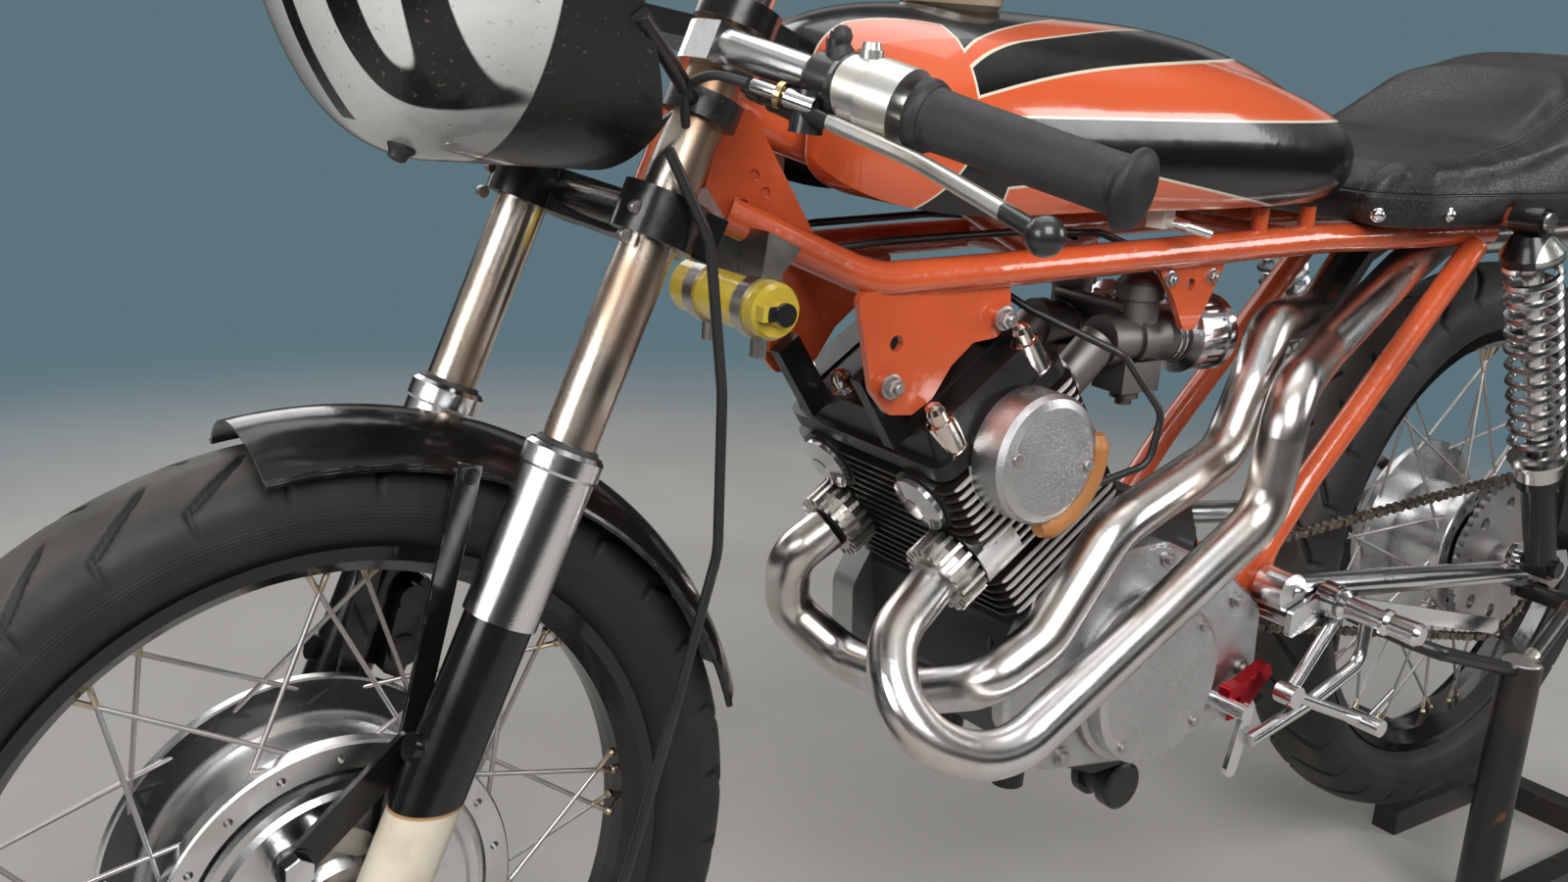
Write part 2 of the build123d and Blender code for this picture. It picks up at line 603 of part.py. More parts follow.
with BuildPart() as frame:
    rod((stem_x(HEAD_LOW_Z), 0, HEAD_LOW_Z), (stem_x(HEAD_HIGH_Z), 0, HEAD_HIGH_Z), HEAD_TUBE_R)
    slab([(NECK_X - back, z) for back, z in GUSSET], -20, 20)
    for back, z in GUSSET_DIMPLES:
        for s in SIDES:
            rod((NECK_X - back, s * 18, z), (NECK_X - back, s * 24, z), 4.5, mode=Mode.SUBTRACT)
    bent([(NECK_X - back, 0, z) for back, z in SPINE], 15, 60)
    for s in SIDES:
        bent([(x, s * y, z) for x, y, z in RAIL], RAIL_R, 60)
        bent([(x, s * y, z) for x, y, z in REAR_LOOP], LOOP_R, 40)
        slab(PIVOT_PLATE, s * LOOP_Y - 5, s * LOOP_Y + 5, 6)
        for x in TANK_POSTS:
            rod((x, s * RAIL_Y, RAIL_Z - 2), (x, s * RAIL_Y, RAIL_Z + 29), 7)
        slab([(SHOCK_TOP[0] + dx, z) for dx, z in SHOCK_LUG], s * RAIL_Y - 4, s * RAIL_Y + 4)
        rod((SHOCK_TOP[0], s * RAIL_Y, SHOCK_TOP[1]), (SHOCK_TOP[0], s * (SHOCK_Y - 15), SHOCK_TOP[1]), 9)
    for x, z in ((NECK_X - 160, 701), (700, 707), (435, RAIL_Z - 1)):
        rod((x, -RAIL_Y, z), (x, RAIL_Y, z), 9)
    rod((PIVOT_X, -LOOP_Y - LOOP_R, PIVOT_Z), (PIVOT_X, LOOP_Y + LOOP_R, PIVOT_Z), 14)
    rod((500, -LOOP_Y, 346), (500, LOOP_Y, 346), 6)
    rod((stem_x(735), 0, 735), (stem_x(860), 0, 860), STEM_R + 4.5, mode=Mode.SUBTRACT)
export(frame.part, "frame")

# Front engine plate, its bolts and its hole; the hole's third value is a radius
HANGER = (
    (925, 694), (782, 700), (776, 664), (790, 654), (812, 652), (832, 636), (848, 612), (866, 602),
    (888, 604), (905, 622),
)
HANGER_BOLTS = ((893, 627), (790, 670))
HANGER_HOLE = (886, 656, 6)
HANGER_HALF = 3
REAR_HANGER = ((622, 702), (536, 704), (556, 664), (566, 646), (580, 646), (596, 672))
with BuildPart() as hangers:
    for s in SIDES:
        slab(HANGER, s * RAIL_Y - HANGER_HALF, s * RAIL_Y + HANGER_HALF, 7, (HANGER_HOLE,))
        slab(REAR_HANGER, s * RAIL_Y - HANGER_HALF, s * RAIL_Y + HANGER_HALF, 5, ((578, 684, 5),))
        for x, z in HANGER_BOLTS:
            rod((x, s * (RAIL_Y - 10), z), (x, s * (RAIL_Y + 10), z), 7)
    add(frame.part, mode=Mode.SUBTRACT)
export(hangers.part, "engine_hangers")


def engine_point(f, y, d):
    """Machine coordinates of a point given along the engine's own axes."""
    return tuple(ENGINE.from_local_coords((f, y, d)))


CASE = (
    (742, 466), (752, 420), (742, 350), (716, 300), (640, 268), (560, 270), (548, 478), (600, 500), (655, 526)
)
GEARBOX = ((560, 270), (520, 290), (496, 330), (486, 420), (510, 478), (570, 486))
# Crankcase joint: a thin flange all round at the height of the crankshaft
FLANGE_BOSSES = (748, 716, 600, 560)
SUMP_RIBS = 7
BOBBIN_ROWS = ((0, 16), (6, 22), (14, 22), (14, 17), (34, 17), (34, 22), (46, 22), (48, 19))
with BuildPart() as crankcase:
    slab(CASE, -CASE_HALF_WIDTH, CASE_HALF_WIDTH, 9)
    slab(GEARBOX, -52, 52, 6)
    for i in range(SUMP_RIBS):
        y = (i - (SUMP_RIBS - 1) / 2) * 22
        slab(((704, 300), (640, 262), (566, 260), (560, 300)), y - 3, y + 3)
    for x, y in ((690, 40), (690, -40), (570, 0)):
        rod((x, y, 250), (x, y, 300), 14)
    turned((590, 36, 240), (590, 90, 240), BOBBIN_ROWS)
    rod((590, 30, 262), (590, 60, 262), 24)
    for x in FLANGE_BOSSES:
        for s in SIDES:
            rod((x - 6, s * 62, CRANK_Z - 14), (x - 6, s * 62, CRANK_Z + 14), 8)
    drive = (GEARBOX_SPROCKET_X, GEARBOX_SPROCKET_Z)
    rod((drive[0], 50, drive[1]), (drive[0], CHAIN_Y + 3, drive[1]), 26)
    with Locations(ENGINE):
        with Locations((BLOCK_F, 0, CYLINDER_FOOT + 100)):
            Box(200, 260, 200, mode=Mode.SUBTRACT)
    add(frame.part, mode=Mode.SUBTRACT)
export(crankcase.part, "crankcase")

COVER = (
    (772, 398), (742, 452), (690, 474), (600, 476), (520, 440), (462, 396), (458, 330), (503, 290),
    (610, 280), (720, 296), (768, 346),
)
COVER_SCREWS = (
    (744, 392), (706, 456), (600, 462), (500, 408), (480, 340), (560, 296), (700, 306), (748, 344),
)
ALTERNATOR_X, ALTERNATOR_Z = 618, 362
# Outlines outwards from the crankcase: distance from the cover's face, radius
ALTERNATOR_ROWS = ((0, 75), (6, 75), (8, ALTERNATOR_R), (24, ALTERNATOR_R), (28, ALTERNATOR_R - 5))
CLUTCH_ROWS = ((0, 66), (5, 64), (9, 56))
POINTS_ROWS = ((0, POINTS_R), (26, POINTS_R), (31, POINTS_R - 3), (34, POINTS_R - 9))
POINTS_F, POINTS_D = 6, 229
with BuildPart() as covers:
    for s, far in ((1, COVER_Y), (-1, 122)):
        low, high = sorted((s * CASE_HALF_WIDTH, s * far))
        slab(COVER, low, high, 24)
        chamfer(covers.faces().sort_by(Axis.Y)[-1 if s > 0 else 0].edges(), 3.5)
    for x, z in COVER_SCREWS:
        rod((x, CASE_HALF_WIDTH, z), (x, COVER_Y + 2, z), 8)
        rod((x, -CASE_HALF_WIDTH, z), (x, -124, z), 8)
    centre = (ALTERNATOR_X, COVER_Y, ALTERNATOR_Z)
    turned(centre, (ALTERNATOR_X, COVER_Y + 1, ALTERNATOR_Z), ALTERNATOR_ROWS)
    turned((600, -122, 380), (600, -123, 380), CLUTCH_ROWS)
    rod((690, -122, 420), (690, -130, 420), 15)
    start = engine_point(POINTS_F, FIN_HALF_WIDTH, POINTS_D)
    turned(start, (start[0], start[1] + 1, start[2]), POINTS_ROWS)
    grommet = engine_point(POINTS_F - 22, FIN_HALF_WIDTH + 14, POINTS_D - POINTS_R + 8)
    rod(grommet, engine_point(POINTS_F - 30, FIN_HALF_WIDTH + 14, POINTS_D - POINTS_R - 12), 9)
    with Locations(ENGINE):
        with Locations((BLOCK_F, 0, CYLINDER_FOOT + 40)):
            Box(200, 2 * FIN_HALF_WIDTH, 80, mode=Mode.SUBTRACT)
export(covers.part, "engine_covers")


def fin_stack(foot, top, half_length):
    """Cooling fins with round corners, square to the cylinders, between two heights."""
    for i in range(int((top - foot) / FIN_PITCH)):
        with BuildSketch(ENGINE.offset(foot + FIN_PITCH * (i + 0.45))) as fin:
            with Locations((BLOCK_F, 0)):
                RectangleRounded(2 * half_length, 2 * FIN_HALF_WIDTH, FIN_CORNER_R)
        extrude(fin.sketch, amount=FIN_THICKNESS)


with BuildPart() as cylinders:
    with BuildSketch(ENGINE.offset(CYLINDER_FOOT)) as barrels:
        for s in SIDES:
            with Locations((BLOCK_F, s * BARREL_Y)):
                Circle(BARREL_R)
        with Locations((BLOCK_F, 0)):
            Rectangle(1.5 * BARREL_R, 2 * BARREL_Y)
    extrude(barrels.sketch, amount=HEAD_FOOT - CYLINDER_FOOT)
    fin_stack(CYLINDER_FOOT, HEAD_FOOT, FIN_HALF_LENGTH)
export(cylinders.part, "cylinders")

with BuildPart() as head:
    with BuildSketch(ENGINE.offset(HEAD_FOOT)) as block:
        with Locations((BLOCK_F, 0)):
            RectangleRounded(124, 172, 18)
    extrude(block.sketch, amount=COVER_FOOT - HEAD_FOOT)
    fin_stack(HEAD_FOOT, COVER_FOOT, FIN_HALF_LENGTH + 2)
    for s in SIDES:
        rod(engine_point(40, s * PORT_Y, COLLAR_D), engine_point(78, s * PORT_Y, COLLAR_D), 31)
        rod(engine_point(-30, s * 34, 190), engine_point(BLOCK_F - FIN_HALF_LENGTH - 2, s * 34, 190), 25)
        for t in SIDES:
            rod(
                engine_point(BLOCK_F + 50 * t, s * CAP_Y, CAP_D),
                engine_point(BLOCK_F + (FIN_HALF_LENGTH + 2) * t, s * CAP_Y, CAP_D),
                CAP_R + 4,
            )
    rod(engine_point(POINTS_F, 80, POINTS_D), engine_point(POINTS_F, FIN_HALF_WIDTH, POINTS_D), POINTS_R)
    with Locations(ENGINE):
        with Locations((BLOCK_F, 0, HEAD_FOOT - 50), (BLOCK_F, 0, COVER_FOOT + 50)):
            Box(240, 240, 100, mode=Mode.SUBTRACT)
export(head.part, "cylinder_head")

# Head cover nuts and the ears that hang the engine: positions along the engine's own axes
NUT_F = (-45, 50)
NUT_Y = (-84, -28, 28, 84)
EARS = ((72, 340), (-39, 316))
with BuildPart() as head_cover:
    with BuildSketch(ENGINE.offset(COVER_FOOT)) as foot_outline:
        with Locations((BLOCK_F, 0)):
            RectangleRounded(140, 192, 14)
    extrude(foot_outline.sketch, amount=14)
    with BuildSketch(ENGINE.offset(COVER_FOOT + 14)) as waist:
        with Locations((BLOCK_F, 0)):
            RectangleRounded(128, 186, 12)
    extrude(waist.sketch, amount=COVER_TOP - COVER_FOOT - 14, taper=12)
    for y in (-60, 0, 60):
        with Locations(ENGINE):
            with Locations((BLOCK_F, y, COVER_TOP - 8)):
                Box(112, 5, 20)
    for f in NUT_F:
        for y in NUT_Y:
            turned(
                engine_point(f, y, COVER_FOOT + 10), engine_point(f, y, COVER_TOP + 20),
                ((0, 11), (30, 10), (31, 8), (40, 8), (44, 6), (46, 3)),
            )
    for s in SIDES:
        for f, d in EARS:
            with Locations(ENGINE):
                with Locations((f - 4, s * 50, (COVER_TOP + d) / 2 - 4)):
                    Box(22, 12, d - COVER_TOP + 18)
    rod(engine_point(POINTS_F, 80, POINTS_D), engine_point(POINTS_F, FIN_HALF_WIDTH, POINTS_D), POINTS_R)
    with Locations(ENGINE):
        with Locations((BLOCK_F, 0, COVER_FOOT - 50)):
            Box(240, 240, 100, mode=Mode.SUBTRACT)
export(head_cover.part, "head_cover")

# Tappet cap outline outwards from the head: distance, radius
TAPPET_ROWS = ((0, CAP_R - 2), (2, CAP_R), (6, CAP_R), (10, 10), (11, 9))
with BuildPart() as caps:
    for y in (-CAP_Y, CAP_Y):
        for t in SIDES:
            near = BLOCK_F + t * (FIN_HALF_LENGTH + 2)
            turned(engine_point(near, y, CAP_D), engine_point(near + t, y, CAP_D), TAPPET_ROWS)
export(caps.part, "tappet_caps")

COLLAR_R, COLLAR_FINS = 31, 20
COLLAR_START, COLLAR_DEPTH = 80, 24
with BuildPart() as collars:
    for y in (-PORT_Y, PORT_Y):
        plane = Plane(
            origin=engine_point(COLLAR_START, y, COLLAR_D), x_dir=(0, 1, 0), z_dir=ENGINE.x_dir
        )
        with BuildSketch(plane) as rosette:
            Circle(PIPE_R + 5)
            with PolarLocations((COLLAR_R + PIPE_R) / 2, COLLAR_FINS):
                Rectangle(COLLAR_R - PIPE_R, 3.6)
        extrude(rosette.sketch, amount=COLLAR_DEPTH)
        turned(
            engine_point(COLLAR_START + COLLAR_DEPTH, y, COLLAR_D),
            engine_point(COLLAR_START + COLLAR_DEPTH - 1, y, COLLAR_D),
            ((0, PIPE_R + 5), (COLLAR_DEPTH * 0.6, PIPE_R + 8), (COLLAR_DEPTH, PIPE_R + 6)),
        )
export(collars.part, "exhaust_collars")

# Pipe routes from the cylinder head: X, Y, Z and the bend's radius at that corner
LEFT_PIPE = (
    (872, 80, 434, 60), (902, 125, 381, 55), (820, 155, 349, 70), (563, 165, 512, 50), (552, 165, 614, 45),
    (440, 111, 627, 80), (255, 56, 682, 80),
)
RIGHT_PIPE = (
    (852, -80, 440, 30), (838, -96, 388, 30), (806, -50, 352, 40), (812, 62, 370, 60), (808, 120, 398, 34),
    (765, 132, 430, 50), (700, 130, 510, 60), (556, 112, 548, 50), (520, 102, 604, 60), (482, 84, 648, 50),
    (368, 44, 640, 80), (230, -14, 688, 80),
)
PIPE_END_X, PIPE_END_Z = -60, 704
for name, s, route in (("exhaust_left", 1, LEFT_PIPE), ("exhaust_right", -1, RIGHT_PIPE)):
    with BuildPart() as pipe:
        start = engine_point(COLLAR_START + COLLAR_DEPTH, s * PORT_Y, COLLAR_D)
        ends = ((160, s * 30, PIPE_END_Z), (PIPE_END_X, s * 30, PIPE_END_Z))
        corners = [(x, y, z) for x, y, z, bend in route]
        bent([start, *corners, *ends], PIPE_R, [bend for *corner, bend in route] + [60], PIPE_R - PIPE_WALL)
        add(collars.part, mode=Mode.SUBTRACT)
    export(pipe.part, name)

# Carburettor bodies: along the intake and up the slide, distance and radius
INTAKE_ROWS = (
    (0, 21), (12, 21), (12, 19), (34, 19), (34, 22), (50, 22), (50, 18), (70, 18), (76, 21), (88, 21),
)
BOWL_NUT_ROWS = ((0, 12), (10, 12), (10, 7), (16, 7))
SLIDE_ROWS = ((0, 15), (8, 17), (46, 17), (46, 20), (58, 20), (64, 15), (70, 6))
with BuildPart() as carburettors:
    for s in SIDES:
        y = s * CARB_Y
        rod(engine_point(BLOCK_F - FIN_HALF_LENGTH - 2, s * 34, 190), (640, y, CARB_Z), 17)
        turned((640, y, CARB_Z), (639, y, CARB_Z), INTAKE_ROWS)
        turned((CARB_X, y, CARB_Z - 12), (CARB_X, y, CARB_Z + 60), SLIDE_ROWS)
        with Locations((CARB_X + 4, y, CARB_Z - 30)):
            Box(44, 34, 26)
        turned((CARB_X + 4, y, CARB_Z - 40), (CARB_X + 4, y, CARB_Z - 60), BOWL_NUT_ROWS)
    strap((CARB_X - 8, CARB_Z + 8), (CARB_X + 16, CARB_Z + 26), 10, -CARB_Y, CARB_Y)
    add(head.part, mode=Mode.SUBTRACT)
export(carburettors.part, "carburettors")

FILTER_R, FILTER_LOUVRES = 33, 24
FILTER_ROWS = (
    (0, 24), (4, FILTER_R), (14, FILTER_R), (14, FILTER_R - 2), (38, FILTER_R - 2), (38, FILTER_R),
    (46, FILTER_R), (50, FILTER_R - 6),
)
with BuildPart() as filters:
    for s in SIDES:
        y = s * CARB_Y
        turned((552, y, CARB_Z), (551, y, CARB_Z), FILTER_ROWS)
        with Locations(Location((526, y, CARB_Z), (0, 90, 0))):
            with PolarLocations(FILTER_R, FILTER_LOUVRES):
                Box(8, 3, 20, mode=Mode.SUBTRACT)
export(filters.part, "air_filters")

COIL_X, COIL_Z = NECK_X - 50, 684
with BuildPart() as coil:
    turned(
        (COIL_X, -38, COIL_Z), (COIL_X, 84, COIL_Z),
        ((0, 17), (4, 19.5), (106, 19.5), (110, 17), (110, 9), (120, 8)),
    )
    for y in (-14, 46):
        rod((COIL_X, y, COIL_Z), (COIL_X, y + 12, COIL_Z), 22)
        rod((COIL_X, y + 6, COIL_Z - 34), (COIL_X, y + 6, COIL_Z - 18), 6)
    slab(((COIL_X - 6, 700), (COIL_X + 6, 700), (COIL_X + 2, 736), (COIL_X - 26, 724)), -14, 58)
    with Locations((COIL_X + 11, 76, COIL_Z + 1)):
        Box(14, 8, 10)
    add(frame.part, mode=Mode.SUBTRACT)
export(coil.part, "ignition_coil")

# Tank sections: distance behind the nose, half widths at the bottom, at the widest and at the shoulder,
# and heights of the bottom, the widest point, the shoulder and the crown
TANK_NOSE_X = NECK_X - 94
TANK = (
    (0, 34, 42, 26, 785, 815, 842, 850),
    (21, 74, 88, 62, 762, 808, 858, 874),
    (66, 98, 112, 80, 752, 806, 866, 886),
    (166, 106, 120, 82, 750, 804, 866, 888),
    (306, 104, 122, 78, 750, 804, 862, 884),
    (426, 96, 116, 70, 750, 802, 848, 868),
    (516, 80, 100, 56, 752, 796, 822, 836),
    (554, 50, 66, 34, 758, 786, 800, 806),
)
TUNNEL_LENGTH, TUNNEL_HALF_WIDTH, TUNNEL_TOP_Z = 340, 30, 815
with BuildPart() as tank:
    for back, low_w, wide_w, top_w, low_z, wide_z, top_z, crown in TANK:
        plane = Plane(origin=(TANK_NOSE_X - back, 0, 0), x_dir=(0, 1, 0), z_dir=(1, 0, 0))
        with BuildSketch(plane):
            with BuildLine():
                Line((-low_w, low_z), (low_w, low_z))
                ThreePointArc((low_w, low_z), (wide_w, wide_z), (top_w, top_z))
                ThreePointArc((top_w, top_z), (0, crown), (-top_w, top_z))
                ThreePointArc((-top_w, top_z), (-wide_w, wide_z), (-low_w, low_z))
            make_face()
    loft()
    with Locations((TANK_NOSE_X - 146, 0, TUNNEL_TOP_Z - 50)):
        Box(TUNNEL_LENGTH, 2 * TUNNEL_HALF_WIDTH, 100, mode=Mode.SUBTRACT)
    add(frame.part, mode=Mode.SUBTRACT)
export(tank.part, "fuel_tank")

CAP_X, CAP_SEAT_Z = TANK_NOSE_X - 146, 884
with BuildPart() as cap:
    turned((CAP_X, 0, CAP_SEAT_Z), (CAP_X, 0, CAP_SEAT_Z + 20), ((0, 32), (6, 38), (14, 38), (20, 31)))
    add(tank.part, mode=Mode.SUBTRACT)
export(cap.part, "filler_cap")

TAP = (632, 76)
with BuildPart() as tap:
    x, y = TAP
    with BuildSketch(Plane(origin=(x, y, 733), z_dir=(0, 0, 1))) as hexagon:
        RegularPolygon(13, 6)
    extrude(hexagon.sketch, amount=14)
    rod((x, y, 740), (x, y, 758), 9)
    rod((x, y + 8, 739), (x - 8, y + 24, 736), 5)
    rod((x - 4, y + 22, 737), (x - 34, y + 24, 730), 4)
    add(tank.part, mode=Mode.SUBTRACT)
    add(frame.part, mode=Mode.SUBTRACT)
export(tap.part, "fuel_tap")

# Seat: side outline and half plan outline
SEAT_SIDE = (
    (388, 752), (372, 780), (250, 788), (196, 800), (150, 836), (100, 868), (30, 884), (-80, 884),
    (-140, 862), (-172, 810), (-176, 734), (0, 728), (372, 728),
)
SEAT_PLAN = ((388, 96), (330, 122), (60, 128), (-90, 108), (-150, 78), (-178, 34))
with BuildPart() as seat:
    slab(SEAT_SIDE, -130, 130, 8)
    with BuildSketch(Plane(origin=(0, 0, 700))) as plan:
        Polygon(*SEAT_PLAN, *[(x, -y) for x, y in reversed(SEAT_PLAN)], align=None)
        fillet(plan.vertices(), 16)
    extrude(plan.sketch, amount=220, mode=Mode.INTERSECT)
    add(frame.part, mode=Mode.SUBTRACT)
    add(tank.part, mode=Mode.SUBTRACT)
export(seat.part, "seat")

# Swingarm leg outline from the pivot backwards: distance, radius
ARM_ROWS = ((0, 15), (20, 13), (360, 11.5), (412, 10))
AXLE_PLATE = ((66, 388), (20, 382), (-40, 376), (-50, 358), (-44, 342), (66, 350))
with BuildPart() as swingarm:
    for s in SIDES:
        pivot = (PIVOT_X, s * (LOOP_Y + LOOP_R + 0.5), PIVOT_Z)
        rod(pivot, (PIVOT_X, s * (SWINGARM_Y + 14), PIVOT_Z), 18)
        turned((PIVOT_X - 2, s * SWINGARM_Y, PIVOT_Z), (40, s * SWINGARM_Y, REAR_AXLE_Z + 7), ARM_ROWS)
        slab(AXLE_PLATE, s * SWINGARM_Y - 4, s * SWINGARM_Y + 4, 6)
        x, z = SHOCK_FOOT
        rod((x, s * SWINGARM_Y, z), (x, s * (SHOCK_Y - 15), z), 8)
        rod((x, s * SWINGARM_Y, z), (x, s * (SWINGARM_Y + 6), z), 14)
        rod((-62, s * SWINGARM_Y, REAR_AXLE_Z), (-30, s * SWINGARM_Y, REAR_AXLE_Z), 3)
    rod((0, -130, REAR_AXLE_Z), (0, 130, REAR_AXLE_Z), AXLE_R, mode=Mode.SUBTRACT)
export(swingarm.part, "swingarm")

# Rear brake drum from the hub outwards: distance from the middle plane, radius
DRUM_ROWS = ((43.5, 88), (56, 88), (60, 84), (62, 40), (66, 34), (72, 30))
with BuildPart() as rear_axle:
    rod((0, -128, REAR_AXLE_Z), (0, 128, REAR_AXLE_Z), AXLE_R)
    for s in SIDES:
        near = s * (SWINGARM_Y + 4)
        rod((0, near, REAR_AXLE_Z), (0, near + s * 3, REAR_AXLE_Z), 17)
        with BuildSketch(Plane(origin=(0, near + s * 3, REAR_AXLE_Z), z_dir=(0, s, 0))) as nut:
            RegularPolygon(15, 6)
        extrude(nut.sketch, amount=10)
        rod((0, s * 74, REAR_AXLE_Z), (0, s * (SWINGARM_Y - 4), REAR_AXLE_Z), 14)
    turned((0, 0, REAR_AXLE_Z), (0, -1, REAR_AXLE_Z), DRUM_ROWS)
    strap((0, REAR_AXLE_Z + 52), (44, REAR_AXLE_Z + 78), 14, -72, -66)
    rod((0, -72, REAR_AXLE_Z + 52), (0, -58, REAR_AXLE_Z + 52), 9)
export(rear_axle.part, "rear_axle")


def on_shock(share, s):
    """Point between the shock absorber's foot and top."""
    (x0, z0), (x1, z1) = SHOCK_FOOT, SHOCK_TOP
    return (x0 + share * (x1 - x0), s * SHOCK_Y, z0 + share * (z1 - z0))


SHOCK_RUN = hypot(SHOCK_TOP[0] - SHOCK_FOOT[0], SHOCK_TOP[1] - SHOCK_FOOT[1])
SPRING_LOW, SPRING_HIGH = 0.34, 0.9
# Shock absorber outline from its foot: share of its length, radius
SHOCK_ROWS = (
    (0.02, 15), (0.26, 17), (0.26, 22), (SPRING_LOW - 0.01, 22), (SPRING_LOW - 0.01, 28), (SPRING_LOW, 28),
    (SPRING_LOW, 10), (SPRING_HIGH, 10), (SPRING_HIGH, 28), (SPRING_HIGH + 0.02, 28), (0.95, 20), (0.97, 14),
)
with BuildPart() as shocks:
    for s in SIDES:
        for x, z in (SHOCK_FOOT, SHOCK_TOP):
            rod((x, s * (SHOCK_Y - 15), z), (x, s * (SHOCK_Y + 14), z), 13)
            rod((x, s * (SHOCK_Y + 14), z), (x, s * (SHOCK_Y + 20), z), 9)
        turned(on_shock(0, s), on_shock(1, s), [(share * SHOCK_RUN, radius) for share, radius in SHOCK_ROWS])
export(shocks.part, "shock_bodies")

SPRING_TURNS, SPRING_R, WIRE_R = 12, 23.5, 3.8
SPRING_GAP = 5
with BuildPart() as springs:
    for s in SIDES:
        foot, head_end = Vector(*on_shock(SPRING_LOW, s)), Vector(*on_shock(SPRING_HIGH, s))
        run = (head_end - foot).normalized()
        free = (head_end - foot).length - 2 * SPRING_GAP
        base = foot + run * SPRING_GAP
        with BuildLine() as coil_line:
            Helix(pitch=free / SPRING_TURNS, height=free, radius=SPRING_R, center=base, direction=run)
        with BuildSketch(Plane(origin=coil_line.line @ 0, z_dir=coil_line.line % 0)) as wire:
            RegularPolygon(WIRE_R, 6)
        sweep(wire.sketch, path=coil_line.line, is_frenet=True)
export(springs.part, "shock_springs")

SPROCKET_R = CHAIN_PITCH / 2 / sin(pi / REAR_SPROCKET_TEETH)
DRIVE_R = CHAIN_PITCH / 2 / sin(pi / GEARBOX_SPROCKET_TEETH)
TOOTH_TIP, TOOTH_ROOT = 6, 10
CARRIER_HOLES = 8
with BuildPart() as sprocket:
    with BuildSketch(Plane(origin=(0, CHAIN_Y - 3, REAR_AXLE_Z), z_dir=(0, 1, 0))) as disc:
        rim_points = []
        for i in range(REAR_SPROCKET_TEETH):
            for part, depth in ((0, TOOTH_ROOT), (0.3, TOOTH_TIP), (0.7, TOOTH_TIP)):
                turn = 2 * pi * (i + part) / REAR_SPROCKET_TEETH
                rim_points.append(((SPROCKET_R - depth) * cos(turn), (SPROCKET_R - depth) * sin(turn)))
        Polygon(*rim_points, align=None)
        with PolarLocations(SPROCKET_R - 30, CARRIER_HOLES):
            Circle(8, mode=Mode.SUBTRACT)
    extrude(disc.sketch, amount=6)
    turned((0, 41.5, REAR_AXLE_Z), (0, 42, REAR_AXLE_Z), ((0, 50), (16, 46), (23, 46), (25, 30)))
    rod((0, 38, REAR_AXLE_Z), (0, CHAIN_Y + 6, REAR_AXLE_Z), HUB_BORE_R, mode=Mode.SUBTRACT)
export(sprocket.part, "rear_sprocket")

# The chain runs along two common tangents and round both sprockets
centre_gap = hypot(GEARBOX_SPROCKET_X, GEARBOX_SPROCKET_Z - REAR_AXLE_Z)
tilt = atan2(GEARBOX_SPROCKET_Z - REAR_AXLE_Z, GEARBOX_SPROCKET_X)
wrap = acos((SPROCKET_R - DRIVE_R) / centre_gap)
straight = centre_gap * sin(wrap)


def chain_station(s):
    """X, Z and heading in degrees at a distance s along the chain's pitch line."""
    drive_arc = DRIVE_R * 2 * wrap
    if s < straight:
        turn = tilt + wrap
        heading = turn - pi / 2
        base = (SPROCKET_R * cos(turn), REAR_AXLE_Z + SPROCKET_R * sin(turn))
        return base[0] + s * cos(heading), base[1] + s * sin(heading), degrees(heading)
    s -= straight
    if s < drive_arc:
        turn = tilt + wrap - s / DRIVE_R
        x, z = GEARBOX_SPROCKET_X + DRIVE_R * cos(turn), GEARBOX_SPROCKET_Z + DRIVE_R * sin(turn)
        return x, z, degrees(turn) - 90
    s -= drive_arc
    if s < straight:
        turn = tilt - wrap
        base = (GEARBOX_SPROCKET_X + DRIVE_R * cos(turn), GEARBOX_SPROCKET_Z + DRIVE_R * sin(turn))
        heading = turn - pi / 2
        return base[0] + s * cos(heading), base[1] + s * sin(heading), degrees(heading)
    s -= straight
    turn = tilt - wrap - s / SPROCKET_R
    return SPROCKET_R * cos(turn), REAR_AXLE_Z + SPROCKET_R * sin(turn), degrees(turn) - 90


chain_length = 2 * straight + DRIVE_R * 2 * wrap + SPROCKET_R * (2 * pi - 2 * wrap)
LINKS = 2 * round(chain_length / 2 / CHAIN_PITCH)
link_step = chain_length / LINKS
# Outer and inner links: place of the first, width, height
LINK_KINDS = ((0, 11, 9), (1, 7, 7.4))
with BuildPart() as chain:
    for first, width, height in LINK_KINDS:
        places = [chain_station(link_step * (i + 0.5)) for i in range(first, LINKS, 2)]
        reach = link_step * 0.5 + height * 0.42
        flat = reach - height / 2
        with BuildSketch(side(CHAIN_Y + width / 2)) as plates:
            for x, z, angle in places:
                with Locations(Location((x, z), angle)):
                    Polygon(
                        (-reach, 0), (-flat, height / 2), (flat, height / 2),
                        (reach, 0), (flat, -height / 2), (-flat, -height / 2), align=None,
                    )
        extrude(plates.sketch, amount=width)
export(chain.part, "drive_chain")

